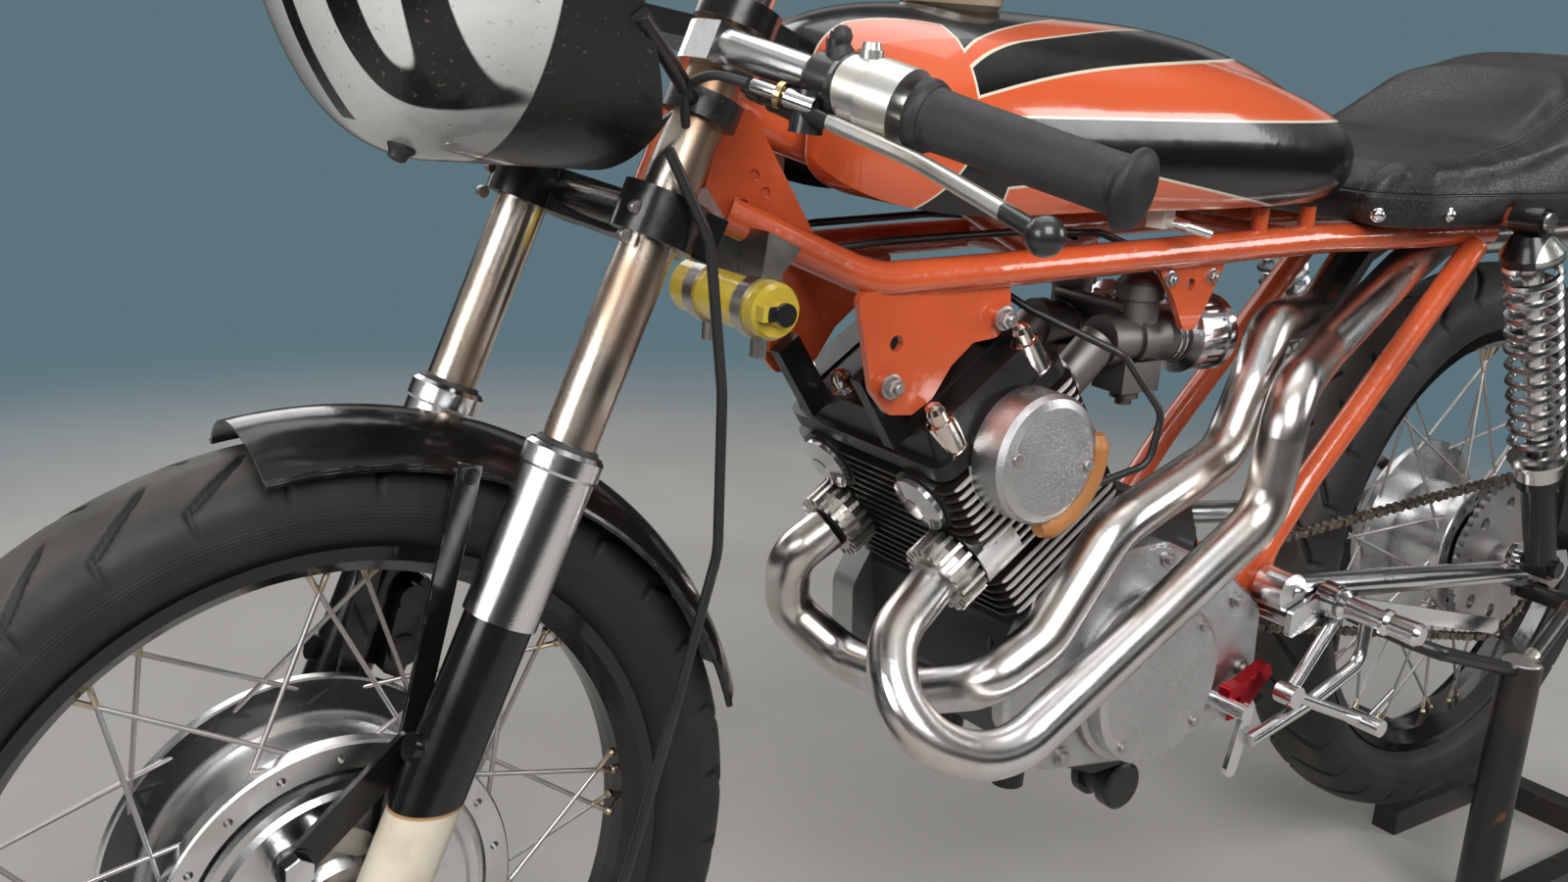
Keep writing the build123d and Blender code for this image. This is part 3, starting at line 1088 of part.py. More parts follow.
# Left foot controls; the right side has a peg and a brake pedal of the same make
PEG_X, PEG_Z = 404, 402
PEG_ROWS = (
    (0, 16), (14, 16), (14, 12), (18, 12), (22, 14), (26, 10), (60, 9), (60, 12), (64, 12), (68, 10),
    (92, 11), (96, 8),
)
PLATE_Y = 127
SHIFT_SHAFT = (522, 322)
SHIFT_BRACKET = ((520, 336), (504, 338), (470, 352), (464, 340), (500, 306), (522, 306))
with BuildPart() as footrests:
    for s in SIDES:
        turned((PEG_X, s * PLATE_Y, PEG_Z), (PEG_X - 6, s * (PLATE_Y + 92), PEG_Z - 4), PEG_ROWS)
        slab(((PIVOT_X + 6, 397), (392, 416), (388, 388), (PIVOT_X + 6, 372)), s * 130 - 3, s * 130 + 3, 5)
        rod((PIVOT_X - 6, s * (LOOP_Y + 5), 384), (PIVOT_X - 6, s * 130, 384), 6)
        rod((PEG_X, s * PLATE_Y, PEG_Z), (PEG_X, s * 146, PEG_Z), 15)
        knee, toe = (468, s * 150, 330), (372, s * 164, 290)
        rod((PEG_X - 6, s * 140, PEG_Z - 14), knee, 6)
        rod(knee, toe, 6)
        rod((knee[0], s * 141, knee[2]), (knee[0], s * 160, knee[2]), 10)
        rod((toe[0], s * 154, toe[2]), (toe[0], s * 186, toe[2]), 8)
    bent(((PEG_X - 34, 152, PEG_Z - 18), (376, 156, 344), (440, 152, 316), (514, 150, 296)), 6.5, 22)
    rod((372, 168, 290), (334, 168, 312), 2.5)
    slab(SHIFT_BRACKET, 116, 128, 4, ((508, 322, 4),))
    strap((516, 322), (528, 270), 14, 142, 147)
    rod((SHIFT_SHAFT[0], COVER_Y, SHIFT_SHAFT[1]), (SHIFT_SHAFT[0], 150, SHIFT_SHAFT[1]), 7)
    strap((PEG_X - 40, 388), (110, 322), 16, PLATE_Y + 1, PLATE_Y + 6)
    rod((PEG_X - 40, PLATE_Y, 388), (PEG_X - 40, 136, 388), 9)
    pad = ((PEG_X - 52, 392), (PEG_X - 28, 396), (PEG_X + 8, 408), (PEG_X + 8, 390), (PEG_X - 30, 376))
    slab(pad, PLATE_Y, PLATE_Y + 6, 3)
export(footrests.part, "footrests")

# Rack teeth up the posts: pitch and depth
RACK_PITCH, RACK_DEPTH = 9, 3
CRADLE_X = 10
with BuildPart() as stand:
    for s, post_x, front_x in ((1, POST_X, STAND_FRONT_X), (-1, RIGHT_POST_X, RIGHT_POST_X + POST_R)):
        y = s * POST_Y
        turned(
            (post_x, y, 0), (post_x, y, POST_TOP_Z),
            ((0, POST_R), (POST_TOP_Z - 2, POST_R), (POST_TOP_Z, POST_R - 2)),
        )
        edge_x = post_x - POST_R
        rack = [(edge_x + 4, 40), (edge_x + 4, POST_TOP_Z - 16)]
        for i in range(int((POST_TOP_Z - 56) / RACK_PITCH)):
            z = POST_TOP_Z - 16 - i * RACK_PITCH
            rack += [(edge_x - 1 - RACK_DEPTH, z), (edge_x - 1, z - RACK_PITCH / 2)]
        slab(rack, y - 4, y + 4)
        with Locations(((front_x + STAND_REAR_X) / 2, y, STAND_RAIL / 2)):
            Box(front_x - STAND_REAR_X, STAND_RAIL, STAND_RAIL)
        foot_z = STAND_RAIL - 2
        slab(((edge_x + 4, foot_z), (edge_x - 44, foot_z), (edge_x + 4, foot_z + 52)), y - 3, y + 3)
        rod((post_x, y, POST_TOP_Z - 14), (CRADLE_X, s * 156, CRADLE_Z), 9)
        rod((CRADLE_X, s * 166, CRADLE_Z), (CRADLE_X, s * 100, CRADLE_Z), 10)
    bent(
        (
            (POST_X, POST_Y, POST_TOP_Z - 12), (290, POST_Y + 2, POST_TOP_Z + 40),
            (306, POST_Y - 20, POST_TOP_Z + 46), (312, 98, POST_TOP_Z + 52),
        ),
        7, 14,
    )
    rear_x = STAND_REAR_X + STAND_RAIL / 2
    with Locations((rear_x, 0, STAND_RAIL / 2)):
        Box(STAND_RAIL, 2 * POST_Y, STAND_RAIL)
    with Locations((rear_x / 2, 0, STAND_RAIL / 2)):
        Box(STAND_RAIL - rear_x, STAND_RAIL, STAND_RAIL)
    add(swingarm.part, mode=Mode.SUBTRACT)
    add(rear_axle.part, mode=Mode.SUBTRACT)
export(stand.part, "paddock_stand")

# Engine leads and control cables: route and bend radius of each
POINTS_LEAD = (
    (764, 20, 690), (736, 52, 668), (692, 112, 642), (656, 126, 596), (664, 126, 556), (712, 112, 540),
)
LEADS = (
    (POINTS_LEAD, 18),
    (((936, 30, 716), (880, 44, 724), (760, 48, 728), (660, 44, 724), (600, CARB_Y, 706)), 40),
    (((936, -30, 716), (880, -44, 724), (760, -48, 728), (660, -44, 724), (600, -CARB_Y, 706)), 40),
)
LEAD_R = 3
with BuildPart() as leads:
    for route, bend in LEADS:
        bent(route, LEAD_R, bend)
export(leads.part, "engine_cables")
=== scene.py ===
import json
from math import acos, atan2, cos, hypot, pi, radians, sin, sqrt, tan

import bmesh
import bpy
from bpy.props import FloatProperty, FloatVectorProperty, IntProperty, PointerProperty
from bpy.types import Operator, Panel, PropertyGroup
from mathutils import Matrix, Vector


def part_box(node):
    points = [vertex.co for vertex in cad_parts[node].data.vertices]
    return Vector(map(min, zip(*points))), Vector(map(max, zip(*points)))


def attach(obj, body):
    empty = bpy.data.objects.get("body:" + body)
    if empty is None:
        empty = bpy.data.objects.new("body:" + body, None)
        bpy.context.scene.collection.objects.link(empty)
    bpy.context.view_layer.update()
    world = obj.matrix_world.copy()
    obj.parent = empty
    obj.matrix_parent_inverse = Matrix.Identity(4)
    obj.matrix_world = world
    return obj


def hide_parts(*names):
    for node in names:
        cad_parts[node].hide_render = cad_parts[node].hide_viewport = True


bl_info = {
    "name": "Racing Motorcycle Finish",
    "version": (1, 0, 0),
    "blender": (4, 5, 0),
    "location": "View3D > Sidebar > Motorcycle",
    "description": "Finishes and fine pieces of a racing motorcycle held on its stand",
    "category": "Object",
}

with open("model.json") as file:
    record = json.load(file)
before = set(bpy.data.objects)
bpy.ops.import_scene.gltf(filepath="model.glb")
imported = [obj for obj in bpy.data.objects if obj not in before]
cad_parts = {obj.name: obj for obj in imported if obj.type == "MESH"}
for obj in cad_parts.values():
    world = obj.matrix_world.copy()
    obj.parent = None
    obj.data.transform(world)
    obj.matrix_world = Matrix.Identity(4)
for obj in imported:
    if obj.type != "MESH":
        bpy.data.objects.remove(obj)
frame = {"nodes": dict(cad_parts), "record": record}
NODES = frame["nodes"]
COLOURS = {entry["slot"]: tuple(entry["base_color"]) for entry in frame["record"]["materials"]}

# The deep black of paint, plastic and castings
INK = (0.0065, 0.0063, 0.0062)

# Places and sizes are in metres in the row frame: X forward, Y to the rider's left, Z up.
SIDES = (1, -1)
# Where the floor is centred and where the lamps point
MIDDLE_X = 0.6
LAMP_AIM = (0.65, 0, 0.5)

WHEELBASE = 1.28
FRONT_AXLE_Z, REAR_AXLE_Z = 0.305, 0.357
RIM_R, BEAD_Y = 0.241, 0.0232
# Each wheel's axle X and Z, tyre radius and half width
WHEELS = {
    "front": (WHEELBASE, FRONT_AXLE_Z, 0.305, 0.040),
    "rear": (0.0, REAR_AXLE_Z, 0.310, 0.042),
}
# Tyre outline: share of the half width, share of the height above the rim
TYRE_OUTLINE = ((0.84, 0.14), (0.98, 0.34), (1.0, 0.46), (0.94, 0.7), (0.66, 0.9), (0.3, 0.985))
# Tread grooves: distance from the crown's middle, length over the crown and share where they bend
GROOVE_START, GROOVE_SPAN, GROOVE_BEND = 0.005, 0.055, 0.62
# Hub flanges: left Y and radius, right Y and radius
HUB_FLANGES = {"front": ((0.033, 0.118), (-0.038, 0.132)), "rear": ((0.034, 0.076), (-0.038, 0.104))}
SPOKES_A_SIDE = 18
SPOKE_TIP_R, SPOKE_TURN = 0.2215, radians(32)

ENGINE_X, ENGINE_Z = 0.640, 0.388
# Cosine and sine of the cylinders' lean
ENGINE_LEAN = (0.8192, 0.5736)
FINS_HALF_WIDTH = 0.0965
# In the engine's own axes: the points cover's centre, the acorn nuts' rows, columns and foot
POINTS_F, POINTS_D = 0.006, 0.229
NUT_ROWS, NUT_COLUMNS, NUT_FOOT_D = (-0.045, 0.050), (0.028, 0.084), 0.263
ALTERNATOR_X, ALTERNATOR_Z = 0.618, 0.362
FILTER_Y, FILTER_Z = 0.038, 0.634
COIL_X, COIL_Z = 0.9903, 0.684

PITCH, CHAIN_Y = 0.0127, 0.064
SPROCKET_R = PITCH / (2 * sin(pi / 45))
DRIVE_R = PITCH / (2 * sin(pi / 15))
DRIVE_X, DRIVE_Z = 0.505, 0.402

SHOCK_FOOT, SHOCK_TOP, SHOCK_Y = (0.062, 0.384), (0.205, 0.738), 0.142
RAKE = radians(22.5)
FORK_Y = 0.085
SLEEVE_SCREW_Z, SLEEVE_TOP_Z = 0.600, 0.6125
# Cream band of the fork legs
LABEL_LOW, LABEL_HIGH = 0.3325, 0.3970
# Clip-on tubes: inner end, then how far they run out, back and down
BAR_INNER_Y, BAR_INNER_Z, BAR_AHEAD = 0.106, 0.856, 0.015
BAR_SPREAD, BAR_SWEEP, BAR_DROP = 0.278, 0.083, 0.056
# Where the grips start and end, from the middle plane
GRIP_START, GRIP_END = 0.240, 0.374

# Centre of the race number, middle of the bowl's shell and start of its black rear part
NUMBER_Y, NUMBER_Z = 0.0885, 0.905
BOWL_MIDDLE_X, BOWL_BLACK_X = 1.15, 1.195
# Where the tank's side bands start
TANK_LINE_X, TANK_LINE_Z = 0.864, 0.8187
# The cushion's held lower edge and the foot of its hump
SEAT_EDGE_Z, HUMP_Z = 0.737, 0.794
# Tops of the stand's posts
POST_X, POST_TOP_Z = 0.130, 0.306


def fork_x(z):
    """X of the fork legs' centre line at a height."""
    return WHEELBASE - (z - FRONT_AXLE_Z) * tan(RAKE)


def on_bar(y, s, ahead=0.0, above=0.0):
    """A point on a clip-on's centre line at a distance y from the middle plane, or beside it."""
    share = (y - BAR_INNER_Y) / BAR_SPREAD
    x = fork_x(BAR_INNER_Z) + BAR_AHEAD - share * BAR_SWEEP + ahead
    return Vector((x, s * y, BAR_INNER_Z - share * BAR_DROP + above))


def engine_point(f, y, d):
    """A point given along the engine's own axes: across its lean, sideways and up its cylinders."""
    c, s = ENGINE_LEAN
    return Vector((ENGINE_X + c * f + s * d, y, ENGINE_Z - s * f + c * d))


def between(t, a, b, c, d):
    """A value on the smooth curve from b to c at the share t; a and d lie before and after."""
    bend = 2 * a - 5 * b + 4 * c - d
    twist = 3 * b - 3 * c + d - a
    return 0.5 * (2 * b + (c - a) * t + bend * t**2 + twist * t**3)


def smooth_line(points, steps):
    """Points of a smooth curve through the given ones, steps of them in each span."""
    ends = [points[0], *points, points[-1]]
    line = []
    for quad in zip(ends, ends[1:], ends[2:], ends[3:]):
        for i in range(steps):
            line.append(tuple(between(i / steps, *values) for values in zip(*quad)))
    line.append(tuple(points[-1]))
    return line


def circle(centre, along, across, radius, sides):
    """Points of a circle square to along, the first one in the direction across."""
    over = along.cross(across)
    turns = [2 * pi * i / sides for i in range(sides)]
    return [centre + (across * cos(turn) + over * sin(turn)) * radius for turn in turns]


def added(name, data):
    """A new object in the scene."""
    obj = bpy.data.objects.new(name, data)
    bpy.context.scene.collection.objects.link(obj)
    return obj


class Piece:
    """The faces of one added piece, gathered in the row frame."""

    def __init__(self):
        self.mesh = bmesh.new()

    def skin(self, rings, closed=False):
        """Faces between loops of points; closed joins the last loop to the first."""
        rows = [[self.mesh.verts.new(point) for point in ring] for ring in rings]
        for low, high in zip(rows, rows[1:] + rows[:1] if closed else rows[1:]):
            for i in range(len(low)):
                j = (i + 1) % len(low)
                self.mesh.faces.new((low[i], low[j], high[j], high[i]))
        return rows

    def capped(self, rings):
        """Faces between loops of points, with a face over each end."""
        loops = self.skin(rings)
        self.mesh.faces.new(loops[0])
        self.mesh.faces.new(loops[-1])

    def turned(self, start, along, rows, sides=20):
        """A turned form from start in the direction along, given as rows of distance and radius."""
        axis = Vector(along).normalized()
        across = axis.orthogonal().normalized()
        self.capped([
            circle(Vector(start) + axis * distance, axis, across, radius, sides)
            for distance, radius in rows
        ])

    def pipe(self, points, radius, sides=10, closed=False):
        """A round wire along points."""
        line = [Vector(point) for point in points]
        count = len(line)
        across = None
        rings = []
        for i, centre in enumerate(line):
            after = line[(i + 1) % count] if closed else line[min(i + 1, count - 1)]
            before = line[i - 1] if closed else line[max(i - 1, 0)]
            along = (after - before).normalized()
            across = along.orthogonal() if across is None else across - along * across.dot(along)
            across.normalize()
            rings.append(circle(centre, along, across, radius, sides))
        if closed:
            self.skin([*rings, rings[0]])
        else:
            self.capped(rings)

    def scaled(self, at, along, size, rows, sides):
        """A turned form whose distances and radii are shares of a size."""
        self.turned(at, along, [(distance * size, radius * size) for distance, radius in rows], sides)

    def screw(self, at, along, radius):
        """A round-headed screw with a recess for a hexagon key."""
        self.scaled(at, along, radius, ((-0.3, 0.9), (0, 1), (0.55, 1), (0.8, 0.86), (0.84, 0.7)), 20)
        self.scaled(at, along, radius, ((0.3, 0.48), (0.86, 0.52), (0.88, 0.4)), 6)

    def nut(self, at, along, radius):
        """A hexagon nut on a washer with the end of its bolt."""
        self.scaled(at, along, radius, ((0, 1.35), (0.18, 1.35), (0.22, 1.28), (0.22, 0.8)), 20)
        self.scaled(at, along, radius, ((0.2, 1), (0.28, 1.08), (0.95, 1.08), (1.1, 0.9)), 6)
        self.scaled(at, along, radius, ((1.0, 0.55), (1.45, 0.55), (1.55, 0.45)), 14)

    def dome(self, at, along, radius):
        """A domed snap fastener on its collar."""
        arc = [radians(15 * i) for i in range(6)]
        rows = [(0.2 + 0.7 * sin(turn), cos(turn)) for turn in arc]
        self.scaled(at, along, radius, ((-0.1, 1.15), (0.1, 1.2), *rows), 20)

    def done(self, name, body, material, slot, sharp=40):
        """Makes the object, which moves with a CAD body."""
        bmesh.ops.recalc_face_normals(self.mesh, faces=self.mesh.faces)
        mesh = bpy.data.meshes.new(name)
        self.mesh.to_mesh(mesh)
        self.mesh.free()
        mesh.shade_smooth()
        mesh.set_sharp_from_angle(angle=radians(sharp))
        mesh.materials.append(material)
        obj = added(name, mesh)
        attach(obj, body)
        return obj


class Term:
    """A value inside a material or a world. Sums of terms become nodes."""

    def __init__(self, graph, socket):
        self.graph = graph
        self.socket = socket

    def __add__(self, other):
        return self.graph.maths("ADD", self, other)

    def __sub__(self, other):
        return self.graph.maths("SUBTRACT", self, other)

    def __rsub__(self, other):
        return self.graph.maths("SUBTRACT", other, self)

    def __mul__(self, other):
        return self.graph.maths("MULTIPLY", self, other)

    def __truediv__(self, other):
        return self.graph.maths("DIVIDE", self, other)

    def __rtruediv__(self, other):
        return self.graph.maths("DIVIDE", other, self)

    def __pow__(self, other):
        return self.graph.maths("POWER", self, other)

    def __rpow__(self, other):
        return self.graph.maths("POWER", other, self)

    def __and__(self, other):
        return self.graph.maths("MINIMUM", self, other)

    def __or__(self, other):
        return self.graph.maths("MAXIMUM", self, other)

    def __gt__(self, other):
        return self.graph.maths("GREATER_THAN", self, other)

    def __lt__(self, other):
        return self.graph.maths("LESS_THAN", self, other)

    def __abs__(self):
        return self.graph.maths("ABSOLUTE", self)

    # These give the same result in either order
    __radd__ = __add__
    __rmul__ = __mul__
    __rand__ = __and__
    __ror__ = __or__


class Graph:
    """The nodes of a new material, or of a new world."""

    def __init__(self, name, kind="materials"):
        self.block = getattr(bpy.data, kind).new(name)
        self.block.use_nodes = True
        self.tree = self.block.node_tree
        self.shader = next(node for node in self.tree.nodes if not node.type.startswith("OUTPUT"))
        place = self.node("ShaderNodeTexCoord")
        self.point, self.normal = place["Object"], place["Normal"]
        split = self.node("ShaderNodeSeparateXYZ", inputs={"Vector": self.point})
        self.x, self.y, self.z = split["X"], split["Y"], split["Z"]

    def link(self, socket, value):
        """Joins a term to a socket, or sets the socket to a constant."""
        if isinstance(value, Term):
            self.tree.links.new(value.socket, socket)
        elif socket.type == "RGBA":
            socket.default_value = (*value[:3], 1)
        else:
            socket.default_value = value

    def node(self, kind, settings=None, inputs=()):
        """Adds a node, sets it, feeds its inputs by name or in order, and gives its outputs by name."""
        node = self.tree.nodes.new(kind)
        for key, value in (settings or {}).items():
            if key == "stops":
                self.set_stops(node.color_ramp.elements, value)
            else:
                setattr(node, key, value)
        sockets = [socket for socket in node.inputs if socket.enabled]
        if isinstance(inputs, dict):
            sockets = [next(socket for socket in sockets if socket.name == key) for key in inputs]
            inputs = inputs.values()
        for socket, value in zip(sockets, inputs):
            self.link(socket, value)
        return {socket.name: Term(self, socket) for socket in node.outputs if socket.enabled}

    def set_stops(self, stops, colours):
        """Gives a ramp its stops from places and colours."""
        stops.remove(stops[0])
        for i, (place, colour) in enumerate(colours):
            stop = stops.new(place) if i else stops[0]
            stop.position = place
            stop.color = (*colour, 1)

    def maths(self, kind, *values):
        """A Math node's result."""
        return self.node("ShaderNodeMath", {"operation": kind}, values)["Value"]

    def mix(self, share, first, second):
        """first where share is 0 and second where it is 1, for colours."""
        settings = {"data_type": "RGBA"}
        return self.node("ShaderNodeMix", settings, {"Factor": share, "A": first, "B": second})["Result"]

    def rise(self, value, low, high):
        """0 below low, 1 above high and smooth between."""
        settings = {"interpolation_type": "SMOOTHSTEP"}
        inputs = {"Value": value, "From Min": low, "From Max": high}
        return self.node("ShaderNodeMapRange", settings, inputs)["Result"]

    def band(self, value, low, high, edge):
        """1 between low and high, 0 outside and smooth over the width of each edge."""
        return self.rise(value, low, low + edge) * self.rise(value, high, high - edge)

    def cloudy(self, scale, detail=2.0, stretch=(1, 1, 1)):
        """Noise between 0 and 1; stretch squeezes it along the row's axes."""
        at = self.node("ShaderNodeMapping", inputs={"Vector": self.point, "Scale": stretch})["Vector"]
        return self.node("ShaderNodeTexNoise", inputs={"Vector": at, "Scale": scale, "Detail": detail})["Fac"]

    def patches(self, scale, low, high, detail=2.0):
        """1 in scattered patches, where noise is above high, and 0 between them."""
        return self.rise(self.cloudy(scale, detail), low, high)

    def cells(self, scale):
        """Distance to the nearest of many scattered points."""
        return self.node("ShaderNodeTexVoronoi", inputs={"Vector": self.point, "Scale": scale})["Distance"]

    def around(self, x, z):
        """Distance from a line that runs sideways through a place."""
        return ((self.x - x) ** 2 + (self.z - z) ** 2) ** 0.5

    def dot(self, first, second):
        """The dot product of two vectors."""
        return self.node("ShaderNodeVectorMath", {"operation": "DOT_PRODUCT"}, (first, second))["Value"]

    def edges(self, width):
        """1 on the edges of the shape and 0 elsewhere."""
        bevel = self.node("ShaderNodeBevel", {"samples": 2}, {"Radius": width})["Normal"]
        face = self.node("ShaderNodeNewGeometry")["Normal"]
        return self.rise(1 - self.dot(bevel, face), 0.02, 0.2)

    def shelter(self, reach):
        """1 deep in corners and 0 in the open."""
        found = self.node("ShaderNodeAmbientOcclusion", {"samples": 1}, {"Distance": reach})["AO"]
        return self.rise(1 - found, 0.25, 0.9)

    def aged(
        self, colour, uneven=0.25, corner_dirt_and_shade=0.4, wear=0.0, bare=(0.5, 0.48, 0.45), grime_and_shade=(0.024, 0.018, 0.013)
    ):
        """The colour with an uneven tone and a brown-black mixed into its corners, painted shade where the
        colour is paler and soiling where it is black; wear lays its edges bare.
        """
        deep = self.mix(uneven, colour, grime_and_shade)
        result = self.mix(self.patches(11, 0.4, 0.75, 5), colour, deep)
        # Corners found by occlusion take the brown-black: painted shade on pale colours, soiling on black
        # ones.
        result = self.mix(self.shelter(0.012) * corner_dirt_and_shade, result, grime_and_shade)
        if not wear:
            return result
        chips = self.edges(0.0007) * self.patches(90, 0.45, 0.62, 4)
        return self.mix(chips * wear, result, bare)

    def finish(self, colour, rough, metallic=0.0, coat=0.0, relief=None, depth=0.0003):
        """Joins the values to the shader; relief is a height that depth scales."""
        self.link(self.shader.inputs["Base Color"], colour)
        self.link(self.shader.inputs["Roughness"], rough)
        self.link(self.shader.inputs["Metallic"], metallic)
        self.link(self.shader.inputs["Coat Weight"], coat)
        self.shader.inputs["Coat Roughness"].default_value = 0.06
        if relief is not None:
            bump = self.node("ShaderNodeBump", inputs={"Height": relief, "Distance": depth})
            self.link(self.shader.inputs["Normal"], bump["Normal"])
        return self.block


def enamel(name, colour, rough, wear=0.0, lumps=0.0008, gloss=1.0):
    """Glossy brushed enamel with a slightly uneven surface; wear chips its edges."""
    g = Graph(name)
    shade = g.aged(colour, wear=wear)
    smears = g.cloudy(30)
    lumpy = g.cloudy(70) + g.cloudy(900) * 0.04
    coat = (1 - g.rise(smears, 0.6, 0.8) * 0.4) * gloss
    return g.finish(shade, smears * 0.2 + rough - 0.1, coat=coat, relief=lumpy, depth=lumps)


def black_enamel(name, rough, wear=0.0):
    """Deep black enamel."""
    return enamel(name, INK, rough, wear, lumps=0.0003, gloss=0.15)


def bright_metal(name, colour, rough, stain=0.0, stain_colour=(0.35, 0.22, 0.12)):
    """Polished or plated metal with smears, fine scratches and stains."""
    g = Graph(name)
    smears = g.cloudy(24, 3)
    shade = g.aged(colour, uneven=0.12, corner_dirt_and_shade=0.6)
    marks = g.rise(g.cloudy(18, 3, (1, 1, 0.35)), 0.34, 0.62) * stain
    shade = g.mix(marks, shade, stain_colour)
    fine = g.cloudy(900, 2, (1, 6, 1)) + g.cloudy(160) * 0.4
    blur = smears * rough + rough * 0.5 + marks * 0.25
    return g.finish(shade, blur, metallic=1.0, relief=fine, depth=0.00006)


def cast_metal(name, colour, rough=0.4):
    """Bead-blasted casting with painted shade in its corners."""
    g = Graph(name)
    grain = g.cloudy(1400)
    shade = g.aged(colour, uneven=0.3, corner_dirt_and_shade=0.8)
    return g.finish(shade, g.cloudy(40) * 0.3 + rough - 0.1, metallic=0.9, relief=grain, depth=0.0002)


def moulded(name, colour, rough=0.5):
    """Rubber or plastic with a fine grain and dust."""
    g = Graph(name)
    shade = g.aged(colour, uneven=0.2, corner_dirt_and_shade=0.3, grime_and_shade=(0.06, 0.05, 0.04))
    dust = g.patches(16, 0.5, 0.8, 3) * 0.06
    shade = g.mix(dust, shade, (0.3, 0.26, 0.22))
    blur = g.cloudy(50) * 0.2 + rough - 0.1
    return g.finish(shade, blur, relief=g.cloudy(1200), depth=0.00015)


def engine_black(name, polish_sides):
    """Black engine paint over a cast grain; the fins' outer edges can be polished bare."""
    g = Graph(name)
    shade = g.aged(INK, corner_dirt_and_shade=0.4, grime_and_shade=(0.045, 0.034, 0.025))
    grain = g.cloudy(1100)
    rough = g.cloudy(60) * 0.25 + 0.22
    if not polish_sides:
        return g.finish(shade, rough, coat=0.1, relief=grain, depth=0.0002)
    outer = g.rise(abs(g.y), FINS_HALF_WIDTH - 0.0012, FINS_HALF_WIDTH - 0.0004)
    rubbed = outer * g.patches(70, 0.2, 0.34)
    shade = g.mix(rubbed, shade, (0.90, 0.88, 0.84))
    rough = rough + rubbed * 0.08
    return g.finish(shade, rough, metallic=rubbed * 0.55, coat=0.1, relief=grain, depth=0.00015)


def head_cover_finish():
    """Black head cover with its stepped acorn nuts plated and a little copper coloured."""
    g = Graph("head_cover_black")
    c, s = ENGINE_LEAN
    f = (g.x - ENGINE_X) * c - (g.z - ENGINE_Z) * s
    d = (g.x - ENGINE_X) * s + (g.z - ENGINE_Z) * c
    row = abs(f - NUT_ROWS[0]) & abs(f - NUT_ROWS[1])
    column = abs(abs(g.y) - NUT_COLUMNS[1]) & abs(abs(g.y) - NUT_COLUMNS[0])
    plated = ((row**2 + column**2) ** 0.5 < 0.0115) & (d > NUT_FOOT_D)
    shade = g.aged(INK, corner_dirt_and_shade=0.4, grime_and_shade=(0.04, 0.03, 0.022))
    tinted = g.mix(g.patches(50, 0.4, 0.7) * 0.6, (0.82, 0.80, 0.77), (0.78, 0.52, 0.38))
    shade = g.mix(plated, shade, tinted)
    rough = (g.cloudy(60) * 0.25 + 0.22) * (1 - plated * 0.6)
    grain = g.cloudy(900) * (1 - plated)
    return g.finish(shade, rough, metallic=plated, coat=0.1, relief=grain, depth=0.0002)


def lined(g, area, shade, fill, line, width):
    """shade with fill where area is above 0, edged by a painted line."""
    shade = g.mix(g.rise(area, -0.0001, 0.0001), shade, fill)
    return g.mix(g.rise(abs(area), width, width - 0.0003), shade, line)


def tank_finish(paint):
    """Black tank with its red nose, sweeping side bands and cream lines between the colours."""
    g = Graph("tank_enamel")
    y = abs(g.y)
    behind = TANK_LINE_X - g.x
    bow = ((0.82 - g.z) | 0.0) ** 2 * 7.5
    nose = (g.x - 0.8645 - bow) & (y - 0.030 - ((0.921 - g.x) | 0.0) * 0.62)
    inner = (0.0907 - behind * 0.427) | (0.0326 - behind * 0.01)
    arm = (y - inner) & (0.099 - behind * 0.288 - y) & (behind + 0.004) & (g.z - 0.838)
    slope = 0.8646 - g.maths("EXPONENT", behind / -0.13) * 0.034
    band = (g.z - TANK_LINE_Z) & (slope - g.z) & (behind + 0.004)
    foot = (0.7680 + behind * 0.08) & (0.7798 - (0.706 - g.x) * 0.16)
    wedge = (foot - g.z) & (behind - 0.030)
    red = nose | arm | band | wedge
    drift = g.cloudy(6)
    orange = g.mix(g.rise(drift, 0.35, 0.7) * 0.2, COLOURS["vermilion_paint"], (0.86, 0.16, 0.05))
    black = g.mix(g.rise(drift, 0.4, 0.8) * 0.4, INK, (0.018, 0.012, 0.009))
    shade = lined(g, red, black, orange, paint.line_colour, paint.line_width / 2)
    # Corners found by occlusion take a brown-black: painted shade on the red paint, soiling on the black.
    shade = g.mix(g.shelter(0.02) * 0.5, shade, (0.03, 0.022, 0.016))
    smears = g.cloudy(26, 3)
    step = g.rise(abs(red), 0.0016, 0.0) * 0.15
    coat = g.rise(red, -0.0005, 0.0005) * 0.7 + 0.3
    return g.finish(shade, smears * 0.14 + 0.13, coat=coat, relief=g.cloudy(45) * 0.6 + step, depth=0.0005)


